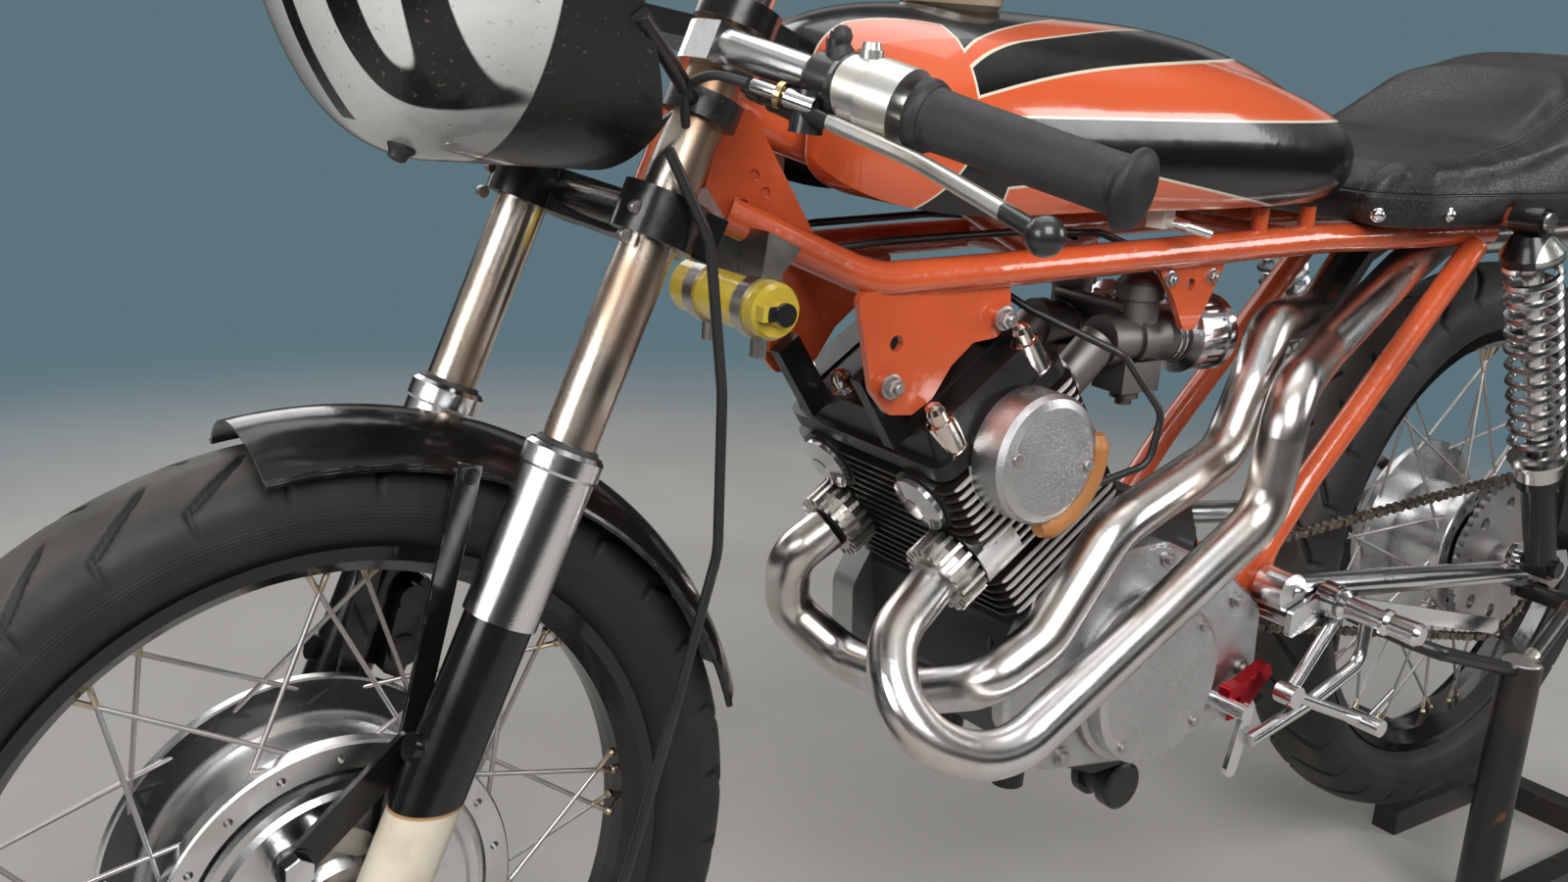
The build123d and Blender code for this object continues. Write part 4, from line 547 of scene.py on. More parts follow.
def bowl_finish(paint):
    """White bowl with a black rear part, a dark band down its nose and a plain race number."""
    g = Graph("bowl_glass_fibre")
    white = g.mix(g.patches(7, 0.35, 0.8, 3) * 0.35, COLOURS["white_glass_fibre"], (0.66, 0.62, 0.54))
    outward = g.dot(g.point, g.normal) - g.dot((BOWL_MIDDLE_X, 0.0, NUMBER_Z), g.normal)
    outside = g.rise(outward, 0.0, 0.002) | g.rise(g.x, BOWL_MIDDLE_X, BOWL_MIDDLE_X - 0.002)
    outer = ((abs(g.y - NUMBER_Y) / 0.0375) ** 2.5 + (abs(g.z - NUMBER_Z) / 0.091) ** 2.5) ** 0.4
    hollow = ((abs(g.y - (NUMBER_Y + 0.002)) / 0.0145) ** 2.5 + (abs(g.z - NUMBER_Z) / 0.069) ** 2.5) ** 0.4
    number = g.rise(outer, 1.01, 0.99) * g.rise(hollow, 0.97, 1.03)
    drift = 0.0095 + (0.87 - g.z) * 0.09
    band = g.rise(abs(g.y - drift), 0.0085, 0.008) * g.rise(g.z, 0.8015, 0.8025)
    rear = g.rise(g.x, BOWL_BLACK_X + 0.0005, BOWL_BLACK_X - 0.0005)
    dark = (number * (g.y > 0) | band | rear) * outside
    shade = g.mix(dark, white, g.mix(g.patches(14, 0.4, 0.8, 3) * 0.4, INK, (0.02, 0.017, 0.014)))
    specks = g.patches(300, 0.66, 0.74) * 0.5
    shade = g.mix(specks, shade, (0.22, 0.19, 0.15))
    rough = g.cloudy(30) * 0.2 + 0.16 + rear * 0.12
    weave = g.cloudy(60) + g.cloudy(500) * 0.08
    return g.finish(shade, rough, coat=1 - dark * 0.85, relief=weave, depth=paint.lumps)


def lever_finish():
    """Polished alloy levers and clamps with black perches and black lever ends."""
    g = Graph("lever_alloy")
    y = abs(g.y)
    dark = (g.rise(y, 0.202, 0.201) | g.rise(y, 0.338, 0.339)) & 1.0
    warm = g.mix(g.patches(20, 0.4, 0.7) * 0.5, (0.88, 0.87, 0.84), (0.84, 0.77, 0.60))
    # Painted shade: corners found by occlusion darken the polished alloy to a brown-black.
    shade = g.mix(dark, g.mix(g.shelter(0.01) * 0.6, warm, (0.05, 0.04, 0.03)), (0.016, 0.015, 0.015))
    rough = g.cloudy(40) * 0.22 + 0.24
    lines = g.cloudy(500, 2, (1, 0.2, 1)) * 0.4 + g.cloudy(90)
    return g.finish(shade, rough, metallic=1 - dark, coat=dark * 0.6, relief=lines, depth=0.00008)


def leg_finish():
    """Gloss black fork legs with a plain cream band round each."""
    g = Graph("leg_enamel")
    across = abs(g.x - WHEELBASE + (g.z - FRONT_AXLE_Z) * tan(RAKE))
    around = g.rise(across, 0.0246, 0.0242) * g.rise(abs(abs(g.y) - FORK_Y), 0.0232, 0.0228)
    label = g.band(g.z, LABEL_LOW, LABEL_HIGH, 0.001) * around
    low, high = LABEL_LOW + 0.0025, LABEL_HIGH - 0.0025
    rim = g.rise(g.z, low + 0.0005, low - 0.0005) | g.rise(g.z, high - 0.0005, high + 0.0005)
    cream = g.mix(g.patches(40, 0.4, 0.7, 3) * 0.4, (0.78, 0.70, 0.56), (0.55, 0.45, 0.30))
    cream = g.mix(rim, cream, (0.45, 0.25, 0.12))
    shade = g.mix(label, g.aged(INK), cream)
    smears = g.cloudy(30)
    rough = smears * 0.2 + 0.12 + label * 0.1
    return g.finish(shade, rough, coat=0.2 + label * 0.3, relief=smears)


def hub_finish(name, axle_x, axle_z, dark_side):
    """Polished hub with fine turning marks; the brake side's flange can be black."""
    g = Graph(name)
    r = g.around(axle_x, axle_z)
    rings = g.maths("SINE", r * 9000) * 0.3 + g.cloudy(300)
    worn = g.patches(22, 0.52, 0.66)
    shade = g.aged(COLOURS["polished_alloy"], uneven=0.15, corner_dirt_and_shade=0.8)
    shade = g.mix(worn * 0.35, shade, (0.62, 0.57, 0.46))
    rough = g.cloudy(40, 3) * 0.25 + 0.14 + worn * 0.15
    if not dark_side:
        return g.finish(shade, rough, metallic=1.0, relief=rings, depth=0.00006)
    dark = g.rise(g.y, -0.0285, -0.0295) * g.rise(r, 0.1305, 0.1300)
    shade = g.mix(dark, shade, (0.016, 0.016, 0.017))
    return g.finish(shade, rough, metallic=1 - dark, coat=dark, relief=rings, depth=0.00006)


def footrest_finish():
    """Chromed rests and levers with one red anodised bracket."""
    g = Graph("footrest_chrome")
    inside = g.band(g.x, 0.4625, 0.5215, 0.001) * g.band(g.z, 0.3045, 0.3535, 0.001)
    red = inside * g.rise(g.y, 0.1130, 0.1140) * g.rise(g.y, 0.1290, 0.1285)
    shade = g.mix(red, g.aged(COLOURS["chrome"], uneven=0.1, corner_dirt_and_shade=0.7), (0.55, 0.02, 0.03))
    knurl = g.cloudy(700) * 0.5 + g.cloudy(120)
    rough = g.cloudy(30, 3) * 0.18 + 0.07 + red * 0.15
    return g.finish(shade, rough, metallic=1.0, relief=knurl, depth=0.0001)


def shock_finish():
    """Black shock absorber bodies with a plated top nut and an alloy spring collar."""
    g = Graph("shock_enamel")
    run_x, run_z = SHOCK_TOP[0] - SHOCK_FOOT[0], SHOCK_TOP[1] - SHOCK_FOOT[1]
    length = hypot(run_x, run_z)
    station = (g.x - SHOCK_FOOT[0]) * (run_x / length**2) + (g.z - SHOCK_FOOT[1]) * (run_z / length**2)
    collar = g.band(station, 0.285, 0.345, 0.002)
    rod = g.band(station, 0.40, 0.895, 0.002)
    ends = g.rise(abs(abs(g.y) - SHOCK_Y), 0.0165, 0.0175) * (1 - rod) * g.rise(station, 0.9, 0.92)
    bright = (collar | rod | ends) & 1.0
    shade = g.mix(bright, g.aged(INK), (0.72, 0.71, 0.68))
    rough = g.cloudy(60) * 0.2 + 0.15
    coat = 0.2 - bright * 0.2
    return g.finish(shade, rough, metallic=bright, coat=coat, relief=g.cloudy(300), depth=0.0001)


def coil_finish():
    """Yellow coil with a black terminal end and plated straps."""
    g = Graph("coil_enamel")
    r = g.around(COIL_X, COIL_Z)
    dark = g.rise(g.y, 0.0785, 0.0790) * g.rise(r, 0.0145, 0.0140)
    strap = g.rise(r, 0.0199, 0.0202)
    yellow = g.aged((0.93, 0.68, 0.07), uneven=0.15, corner_dirt_and_shade=0.6, grime_and_shade=(0.20, 0.12, 0.03))
    shade = g.mix(dark, g.mix(strap, yellow, (0.55, 0.53, 0.5)), (0.02, 0.02, 0.02))
    rough = g.cloudy(50) * 0.2 + 0.2
    return g.finish(shade, rough, metallic=strap, coat=1 - strap, relief=g.cloudy(200), depth=0.0002)


def stand_finish():
    """Worn black stand paint with rubbed post tops, scuffed edges and a little rust."""
    g = Graph("stand_enamel")
    shade = g.aged(INK, uneven=0.4, corner_dirt_and_shade=0.5, wear=0.8, bare=(0.42, 0.38, 0.33), grime_and_shade=(0.06, 0.042, 0.03))
    near = g.rise(g.around(POST_X, POST_TOP_Z), 0.030, 0.026)
    tops = g.rise(g.z, POST_TOP_Z - 0.0020, POST_TOP_Z - 0.0005) * near
    rubbed = tops * g.patches(60, 0.3, 0.45, 3)
    rust = g.patches(34, 0.66, 0.74, 4)
    shade = g.mix(rubbed, g.mix(rust * 0.7, shade, (0.17, 0.06, 0.025)), (0.52, 0.49, 0.44))
    rough = g.cloudy(70) * 0.3 + 0.26 + rust * 0.25
    return g.finish(shade, rough, metallic=rubbed, coat=0.25, relief=g.cloudy(350), depth=0.0004)


def tyre_finish(name, axle_x, axle_z, radius):
    """Road tyre rubber: scrubbed crown, painted shade in the grooves and moulded rings on the walls."""
    g = Graph(name)
    r = g.around(axle_x, axle_z)
    height = (r - RIM_R) / (radius - RIM_R)
    crown = g.rise(height, 0.80, 0.95)
    clean = (0.014, 0.0135, 0.013)
    shade = g.mix(g.patches(20, 0.35, 0.75, 3), clean, (0.028, 0.025, 0.022))
    shade = g.mix(crown * g.patches(8, 0.25, 0.6, 3) * 0.8, shade, (0.095, 0.084, 0.070))
    groove = g.node("ShaderNodeAttribute", {"attribute_name": "groove"})["Fac"]
    # Painted shade: the grooves are darkened to near black.
    shade = g.mix(g.rise(groove, 0.05, 0.4), shade, (0.004, 0.004, 0.004))
    wall = g.rise(height, 0.72, 0.66)
    ribs = g.rise(g.maths("SINE", r * 2600), 0.2, 0.8) * g.band(height, 0.16, 0.52, 0.04)
    relief = ribs * wall * 0.7 + g.cloudy(1300) * 0.25 + g.cloudy(160) * 0.3
    return g.finish(shade, g.cloudy(50) * 0.25 + 0.5, relief=relief, depth=0.0005)


def vinyl_finish():
    """Black vinyl with a hide grain, stitched seams, pulled creases and rubbed high spots."""
    g = Graph("seat_vinyl")
    y = abs(g.y)
    seam = abs(y - 0.104 + ((g.x - 0.30) | 0.0) * 0.25) & abs(g.z - 0.7585)
    line = g.rise(seam, 0.0016, 0.0004)
    stitch = g.rise(g.maths("SINE", g.x * 1250), 0.1, 0.5) * g.rise(abs(seam - 0.0036), 0.0009, 0.0004)
    hide = g.rise(g.cells(620), 0.1, 0.45) * 0.22
    creases = g.cloudy(20, 2, (1, 0.5, 2.2)) * g.rise(abs(g.x - 0.25), 0.13, 0.02)
    relief = hide - line + stitch * 0.35 + creases * 1.6 + g.cloudy(55) * 0.5
    shade = g.mix(g.patches(13, 0.35, 0.8, 3), (0.009, 0.0085, 0.008), (0.024, 0.021, 0.018))
    shade = g.mix(stitch * 0.8, shade, (0.06, 0.052, 0.045))
    return g.finish(shade, g.cloudy(34) * 0.22 + 0.33, relief=relief, depth=0.0012)


def grip_finish():
    """Dark grey rubber with crossed knurling round the bar and dust in its grooves."""
    g = Graph("grip_rubber")
    y = abs(g.y)
    share = (y - BAR_INNER_Y) / BAR_SPREAD
    ahead = g.x - (fork_x(BAR_INNER_Z) + BAR_AHEAD) + share * BAR_SWEEP
    above = g.z - BAR_INNER_Z + share * BAR_DROP
    turn = g.maths("ARCTAN2", above, ahead) * 26
    ridges = abs(g.maths("SINE", turn + y * 1500)) | abs(g.maths("SINE", turn - y * 1500))
    grooves = g.rise(ridges, 0.80, 0.98) * g.band(y, 0.256, 0.362, 0.002)
    shade = g.mix(g.patches(40, 0.3, 0.7), (0.012, 0.0125, 0.015), (0.022, 0.023, 0.026))
    shade = g.mix(grooves * 0.6, shade, (0.075, 0.072, 0.070))
    relief = g.cloudy(1500) * 0.1 - grooves
    return g.finish(shade, g.cloudy(60) * 0.2 + 0.45, relief=relief, depth=0.0006)


def chain_finish():
    """Oiled chain steel, brown with old grease and bright where the plates rub."""
    g = Graph("chain_oiled_steel")
    greasy = g.patches(55, 0.4, 0.65, 3)
    shade = g.mix(greasy, (0.24, 0.20, 0.16), (0.05, 0.032, 0.021))
    shade = g.mix(g.patches(380, 0.55, 0.65) * 0.5, shade, (0.5, 0.47, 0.42))
    rough = greasy * 0.25 + 0.3
    return g.finish(shade, rough, metallic=1 - greasy * 0.6, relief=g.cloudy(500), depth=0.0002)


def axle_finish():
    """Polished axle and brake arm with the torque bar painted black."""
    g = Graph("axle_alloy")
    clear = g.rise(g.around(WHEELBASE, FRONT_AXLE_Z), 0.028, 0.029)
    bar = g.band(g.y, 0.0550, 0.0670, 0.0005) * clear
    shade = g.mix(bar, g.aged(COLOURS["polished_alloy"], corner_dirt_and_shade=0.7), INK)
    rough = g.cloudy(40) * 0.2 + 0.14
    return g.finish(shade, rough, metallic=1 - bar, coat=bar * 0.3, relief=g.cloudy(200), depth=0.0001)


def cover_finish():
    """Hand-polished engine covers with swirled scratches and dull patches."""
    g = Graph("cover_alloy")
    dull = g.patches(9, 0.42, 0.68, 3)
    shade = g.aged((0.66, 0.66, 0.67), uneven=0.2, corner_dirt_and_shade=0.9)
    shade = g.mix(dull * 0.45, shade, (0.42, 0.41, 0.40))
    swirls = g.cloudy(420, 2, (1, 1, 5)) + g.cloudy(60)
    rough = g.cloudy(30, 3) * 0.2 + 0.16 + dull * 0.12
    return g.finish(shade, rough, metallic=1.0, relief=swirls, depth=0.00025)


def tap_finish():
    """Brass fuel tap with a white nylon hexagon and a plated lever."""
    g = Graph("tap_brass")
    lever = g.rise(g.y, 0.0920, 0.0925)
    nylon = g.rise(g.z, 0.7475, 0.7470) * (1 - lever)
    brass = g.aged(COLOURS["brass"], corner_dirt_and_shade=0.7)
    shade = g.mix(nylon, g.mix(lever, brass, COLOURS["chrome"]), (0.80, 0.77, 0.68))
    rough = g.cloudy(60) * 0.2 + 0.14 + nylon * 0.2
    return g.finish(shade, rough, metallic=1 - nylon, relief=g.cloudy(300), depth=0.0001)


def dress(material, *nodes):
    """Gives CAD nodes their finish."""
    for node in nodes:
        NODES[node].data.materials[0] = material


def shared(name, make, *values, **named):
    """The material of that name, made on its first use."""
    return bpy.data.materials.get(name) or make(name, *values, **named)


def chrome():
    """Chrome plate."""
    return shared("chrome_plate", bright_metal, COLOURS["chrome"], 0.14)


def steel():
    """Bare steel, a little stained."""
    return shared("bare_steel", bright_metal, COLOURS["steel"], 0.35, stain=0.3)


def alloy():
    """Polished alloy."""
    return shared("polished_alloy", bright_metal, COLOURS["polished_alloy"], 0.15, stain=0.15)


def black_rubber():
    """Black rubber."""
    return shared("black_rubber", moulded, COLOURS["rubber"])


class MotorcyclePaint(PropertyGroup):
    line_width: FloatProperty(
        name="Line width", description="Width of the painted lines", default=0.0022, unit="LENGTH"
    )
    line_colour: FloatVectorProperty(
        name="Line colour", description="Colour of the painted lines", default=(0.83, 0.74, 0.58),
        subtype="COLOR",
    )
    lumps: FloatProperty(
        name="Surface lumps", description="Height of the bowl's uneven surface", default=0.0006, unit="LENGTH"
    )


class MotorcycleWheels(PropertyGroup):
    tread_depth: FloatProperty(
        name="Tread depth", description="Depth of the tyres' grooves", default=0.0035, unit="LENGTH"
    )
    grooves: IntProperty(name="Grooves", description="Grooves round each side of a tyre", default=32)
    steps: IntProperty(name="Steps", description="Divisions round a tyre", default=832)
    nipple_r: FloatProperty(
        name="Nipple radius", description="Radius of a spoke nipple", default=0.0026, unit="LENGTH"
    )


class MotorcycleSeat(PropertyGroup):
    grid: FloatProperty(name="Grid", description="Size of the cushion's faces", default=0.006, unit="LENGTH")
    pressure: FloatProperty(name="Pressure", description="Pressure that fills the cushion", default=4.0)
    steps: IntProperty(name="Steps", description="Steps for which the cushion swells", default=14)
    scoop: FloatProperty(
        name="Scoop", description="Depth of the hump's hollow front face", default=0.046, unit="LENGTH"
    )
    most: FloatProperty(
        name="Most", description="Furthest that the cover moves", default=0.004, unit="LENGTH"
    )


class MotorcycleStage(PropertyGroup):
    key_power: FloatProperty(
        name="Key lamp", description="Power of the main lamp", default=85.0, unit="POWER"
    )
    fill_power: FloatProperty(
        name="Fill lamp", description="Power of the weaker lamps", default=26.0, unit="POWER"
    )
    solid: FloatProperty(
        name="Solid floor", description="Radius of the full floor", default=1.5, unit="LENGTH"
    )
    faded: FloatProperty(
        name="Faded floor", description="Radius where the floor ends", default=2.9, unit="LENGTH"
    )
    backdrop: FloatVectorProperty(
        name="Backdrop", description="Colour behind the machine", default=(0.20, 0.32, 0.38), subtype="COLOR"
    )


class MOTO_OT_chassis(Operator):
    """Paints the frame, the hangers and the stand and fits the hangers' nuts"""

    bl_idname = "moto.chassis"
    bl_label = "Frame and stand"

    def execute(self, context):
        vermilion = enamel("frame_enamel", COLOURS["vermilion_paint"], 0.26, lumps=0.0013)
        dress(vermilion, "frame", "engine_hangers")
        dress(stand_finish(), "paddock_stand")
        piece = Piece()
        for s in SIDES:
            for x, z in ((0.893, 0.627), (0.790, 0.670)):
                piece.nut((x, s * 0.0795, z), (0, s, 0), 0.0068)
            for x, z in ((0.553, 0.690), (0.604, 0.690)):
                piece.nut((x, s * 0.0728, z), (0, s, 0), 0.0048)
        piece.done("hanger_nuts", "chassis", steel(), "steel")
        return {"FINISHED"}


class MOTO_OT_engine(Operator):
    """Finishes the engine, the carburettors and the exhausts and fits their screws and clamps"""

    bl_idname = "moto.engine"
    bl_label = "Engine"

    def execute(self, context):
        dress(engine_black("crankcase_black", polish_sides=False), "crankcase")
        dress(engine_black("fin_black", polish_sides=True), "cylinders", "cylinder_head")
        dress(head_cover_finish(), "head_cover")
        dress(cover_finish(), "engine_covers")
        dress(alloy(), "tappet_caps")
        dress(cast_metal("collar_alloy", (0.82, 0.79, 0.73), rough=0.22), "exhaust_collars")
        dress(cast_metal("carburettor_alloy", (0.22, 0.21, 0.20)), "carburettors")
        dress(chrome(), "air_filters")
        heat = (0.50, 0.36, 0.22)
        tinted = bright_metal("exhaust_chrome", COLOURS["chrome"], 0.16, stain=0.4, stain_colour=heat)
        dress(tinted, "exhaust_left", "exhaust_right")
        dress(coil_finish(), "ignition_coil")
        sheath = moulded("cable_sheath", COLOURS["black_plastic"], rough=0.32)
        dress(sheath, "engine_cables", "brake_cable")
        self.cover_screws()
        self.filter_clamps()
        self.grommet()
        return {"FINISHED"}

    def cover_screws(self):
        """Screws of the side covers, the points cover and the alternator cover."""
        piece = Piece()
        corners = (
            (0.744, 0.392), (0.706, 0.456), (0.600, 0.462), (0.500, 0.408), (0.480, 0.340), (0.560, 0.296),
            (0.700, 0.306), (0.748, 0.344),
        )
        for x, z in corners:
            piece.screw((x, 0.108, z), (0, 1, 0), 0.0052)
            piece.screw((x, -0.124, z), (0, -1, 0), 0.0052)
        for turn in range(4):
            a = radians(42 + 90 * turn)
            place = (ALTERNATOR_X + 0.062 * cos(a), 0.1335, ALTERNATOR_Z + 0.062 * sin(a))
            piece.screw(place, (0, 1, 0), 0.0044)
        for off in (-0.027, 0.027):
            piece.screw(engine_point(POINTS_F + off, 0.1305, POINTS_D + off), (0, 1, 0), 0.0046)
        piece.done("cover_screws", "chassis", steel(), "steel")

    def filter_clamps(self):
        """Band clamps that hold the air filters on the carburettors."""
        piece = Piece()
        for s in SIDES:
            for x in (0.556, 0.563):
                centre = Vector((x, s * FILTER_Y, FILTER_Z))
                ring = circle(centre, Vector((1, 0, 0)), Vector((0, 1, 0)), 0.0212, 48)
                piece.pipe(ring, 0.0013, 8, closed=True)
            piece.screw((0.5595, s * FILTER_Y + 0.012, 0.6565), (0, 1, 0), 0.0042)
            piece.turned((0.5595, s * FILTER_Y - 0.008, 0.6565), (0, 1, 0), ((0, 0.003), (0.02, 0.003)), 12)
        piece.done("filter_clamps", "chassis", chrome(), "chrome")

    def grommet(self):
        """Tan rubber grommet that bends round the points cover's lower edge."""
        piece = Piece()
        turns = [radians(212 + 6 * i) for i in range(14)]
        arc = [engine_point(POINTS_F + 0.055 * cos(a), 0.119, POINTS_D + 0.055 * sin(a)) for a in turns]
        piece.pipe(arc, 0.0120, 20)
        for place, along in ((arc[0], arc[0] - arc[1]), (arc[-1], arc[-1] - arc[-2])):
            piece.turned(place, along, ((0, 0.0120), (0.003, 0.0117), (0.006, 0.0092), (0.010, 0.0072)))
        tan_rubber = moulded("tan_rubber", (0.55, 0.22, 0.06), rough=0.45)
        piece.done("points_grommet", "chassis", tan_rubber, "rubber")


class MOTO_OT_wheels(Operator):
    """Models the grooved tyres and the spoke nipples and finishes rims, hubs and spokes"""

    bl_idname = "moto.wheels"
    bl_label = "Wheels"

    def execute(self, context):
        wheels = context.scene.moto_wheels
        dress(black_enamel("rim_enamel", 0.16), "front_rim", "rear_rim")
        dress(steel(), "front_spokes", "rear_spokes", "rear_sprocket", "rear_axle")
        for name, (axle_x, axle_z, radius, half_width) in WHEELS.items():
            hub = hub_finish(f"{name}_hub_alloy", axle_x, axle_z, dark_side=name == "front")
            dress(hub, f"{name}_hub")
            self.tyre(name, axle_x, axle_z, radius, half_width, wheels)
            self.nipples(name, axle_x, axle_z, wheels.nipple_r)
        return {"FINISHED"}

    def groove(self, turn, arc, count, side):
        """How deep a groove is, from 0 to 1, at a turn and a distance from the crown's middle."""
        span = (abs(arc) - GROOVE_START) / GROOVE_SPAN
        if not 0 < span < 1:
            return 0.0
        place = (turn * count / (2 * pi) + 0.25 * side + 1.5 * min(span, GROOVE_BEND) ** 1.4) % 1.0
        off = min(place, 1 - place)
        half = 0.045 + 0.060 * sin(pi * min(span * 1.1, 1.0))
        half *= 1.0 if span < GROOVE_BEND else 0.55
        ends = min(1.0, span / 0.06, (1 - span) / 0.04)
        return ends * min(1.0, max(0.0, (half - off) / 0.035))

    def tyre(self, name, axle_x, axle_z, radius, half_width, wheels):
        """Skins the tyre's outline round its axle, with the grooves pressed in."""
        height = radius - RIM_R
        half = [(BEAD_Y, RIM_R - 0.004), (BEAD_Y + 0.001, RIM_R + 0.001)]
        half += [(share * half_width, RIM_R + rise * height) for share, rise in TYRE_OUTLINE]
        line = smooth_line([*half, (0.0, radius), *[(-y, r) for y, r in reversed(half)]], 7)
        middle = len(line) // 2
        arcs = [0.0] * len(line)
        for i in range(middle + 1, len(line)):
            arcs[i] = arcs[i - 1] + hypot(line[i][0] - line[i - 1][0], line[i][1] - line[i - 1][1])
            arcs[2 * middle - i] = -arcs[i]
        rings, cuts = [], []
        for step in range(wheels.steps):
            turn = 2 * pi * step / wheels.steps
            ring = []
            for (y, r), arc in zip(line, arcs):
                cuts.append(self.groove(turn, arc, wheels.grooves, 1 if arc > 0 else -1))
                deep = cuts[-1] * wheels.tread_depth
                # Grooves sink straight in on the crown and slantwise on the shoulders
                slant = min(1.0, abs(arc) / 0.05)
                r -= deep * (1 - 0.4 * slant)
                y -= deep * 0.6 * slant * (1 if y > 0 else -1)
                ring.append((axle_x + r * cos(turn), y, axle_z + r * sin(turn)))
            rings.append(ring)
        piece = Piece()
        piece.skin(rings, closed=True)
        finish = tyre_finish(f"{name}_tyre_rubber", axle_x, axle_z, radius)
        obj = piece.done(f"{name}_tyre_tread", f"{name}_wheel", finish, "tyre", sharp=60)
        obj.data.attributes.new("groove", "FLOAT", "POINT").data.foreach_set("value", cuts)
        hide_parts(f"{name}_tyre")

    def nipples(self, name, axle_x, axle_z, radius):
        """Brass nipples where the spokes meet the rim."""
        outline = ((-0.017, 0.62), (-0.016, 0.8), (-0.004, 0.8), (-0.003, 1.15), (0.0, 1.2))
        rows = [(distance, share * radius) for distance, share in outline]
        piece = Piece()
        for (flange_y, flange_r), phase in zip(HUB_FLANGES[name], (0, 0.5)):
            foot_y = flange_y - 0.0035 * (1 if flange_y > 0 else -1)
            foot_r = flange_r - 0.007
            for i in range(SPOKES_A_SIDE):
                turn = 2 * pi * (i + phase) / SPOKES_A_SIDE
                tip_turn = turn + (SPOKE_TURN if i % 2 else -SPOKE_TURN)
                foot = Vector((axle_x + foot_r * cos(turn), foot_y, axle_z + foot_r * sin(turn)))
                tip_x, tip_z = axle_x + SPOKE_TIP_R * cos(tip_turn), axle_z + SPOKE_TIP_R * sin(tip_turn)
                tip = Vector((tip_x, foot_y * 0.12, tip_z))
                piece.turned(tip, tip - foot, rows, 8)
        brass = shared("nipple_brass", bright_metal, (0.70, 0.60, 0.45), 0.3, stain=0.3)
        piece.done(f"{name}_nipples", f"{name}_wheel", brass, "brass")


class MOTO_OT_chain(Operator):
    """Models the drive chain with its plates, rollers and pins"""

    bl_idname = "moto.chain"
    bl_label = "Drive chain"

    def execute(self, context):
        apart = hypot(DRIVE_X, DRIVE_Z - REAR_AXLE_Z)
        tilt = atan2(DRIVE_Z - REAR_AXLE_Z, DRIVE_X)
        wrap = acos((SPROCKET_R - DRIVE_R) / apart)
        run = apart * sin(wrap)
        drive_arc, rear_arc = DRIVE_R * 2 * wrap, SPROCKET_R * 2 * (pi - wrap)
        total = 2 * run + drive_arc + rear_arc
        count = 2 * round(total / 2 / PITCH)
        rear, drive = (0, REAR_AXLE_Z, SPROCKET_R), (DRIVE_X, DRIVE_Z, DRIVE_R)
        upper, lower = tilt + wrap, tilt - wrap
        # Pins follow the upper run, the drive sprocket, the lower run and the rear sprocket
        pins = []
        for i in range(count):
            gone = total * i / count
            if gone < run:
                (x, z, r), turn, way = rear, upper, gone
            elif gone < run + drive_arc:
                (x, z, r), turn, way = drive, upper - (gone - run) / DRIVE_R, 0
            elif gone < 2 * run + drive_arc:
                (x, z, r), turn, way = drive, lower, gone - run - drive_arc
            else:
                (x, z, r), turn, way = rear, lower - (gone - 2 * run - drive_arc) / SPROCKET_R, 0
            x = x + r * cos(turn) + way * sin(turn)
            z = z + r * sin(turn) - way * cos(turn)
            pins.append(Vector((x, CHAIN_Y, z)))
        roller_rows = ((0, 0.0040), (0.0048, 0.0040))
        pin_rows = ((0, 0.0016), (0.0004, 0.0019), (0.0104, 0.0019), (0.0108, 0.0016))
        piece = Piece()
        for i, pin in enumerate(pins):
            after = pins[(i + 1) % count]
            # Outer and inner links take turns: a plate's two faces off the chain's middle, its half width
            near, far, half = (0.0024, 0.0034, 0.0036) if i % 2 else (0.0037, 0.0047, 0.0043)
            for s in SIDES:
                self.plate(piece, pin, after, s * near, s * far, half)
            piece.turned(pin - Vector((0, 0.0024, 0)), (0, 1, 0), roller_rows, 12)
            piece.turned(pin - Vector((0, 0.0054, 0)), (0, 1, 0), pin_rows, 8)
        obj = piece.done("chain_links", "chassis", chain_finish(), "chain_steel", sharp=30)
        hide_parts("drive_chain")
        return {"FINISHED"}

    def plate(self, piece, pin, after, near, far, half):
        """One waisted link plate between two pins."""
        along = (after - pin).normalized()
        over = Vector((-along.z, 0, along.x))
        reach = (after - pin).length
        outline = []
        for centre, first in ((after, -80), (pin, 100)):
            for k in range(7):
                turn = radians(first + 160 * k / 6)
                outline.append(centre + (along * cos(turn) + over * sin(turn)) * half)
            waist = pin + along * reach * 0.5
            outline.append(waist + over * half * 0.62 * (1 if centre is after else -1))
        piece.capped([[point + Vector((0, y, 0)) for point in outline] for y in (near, far)])


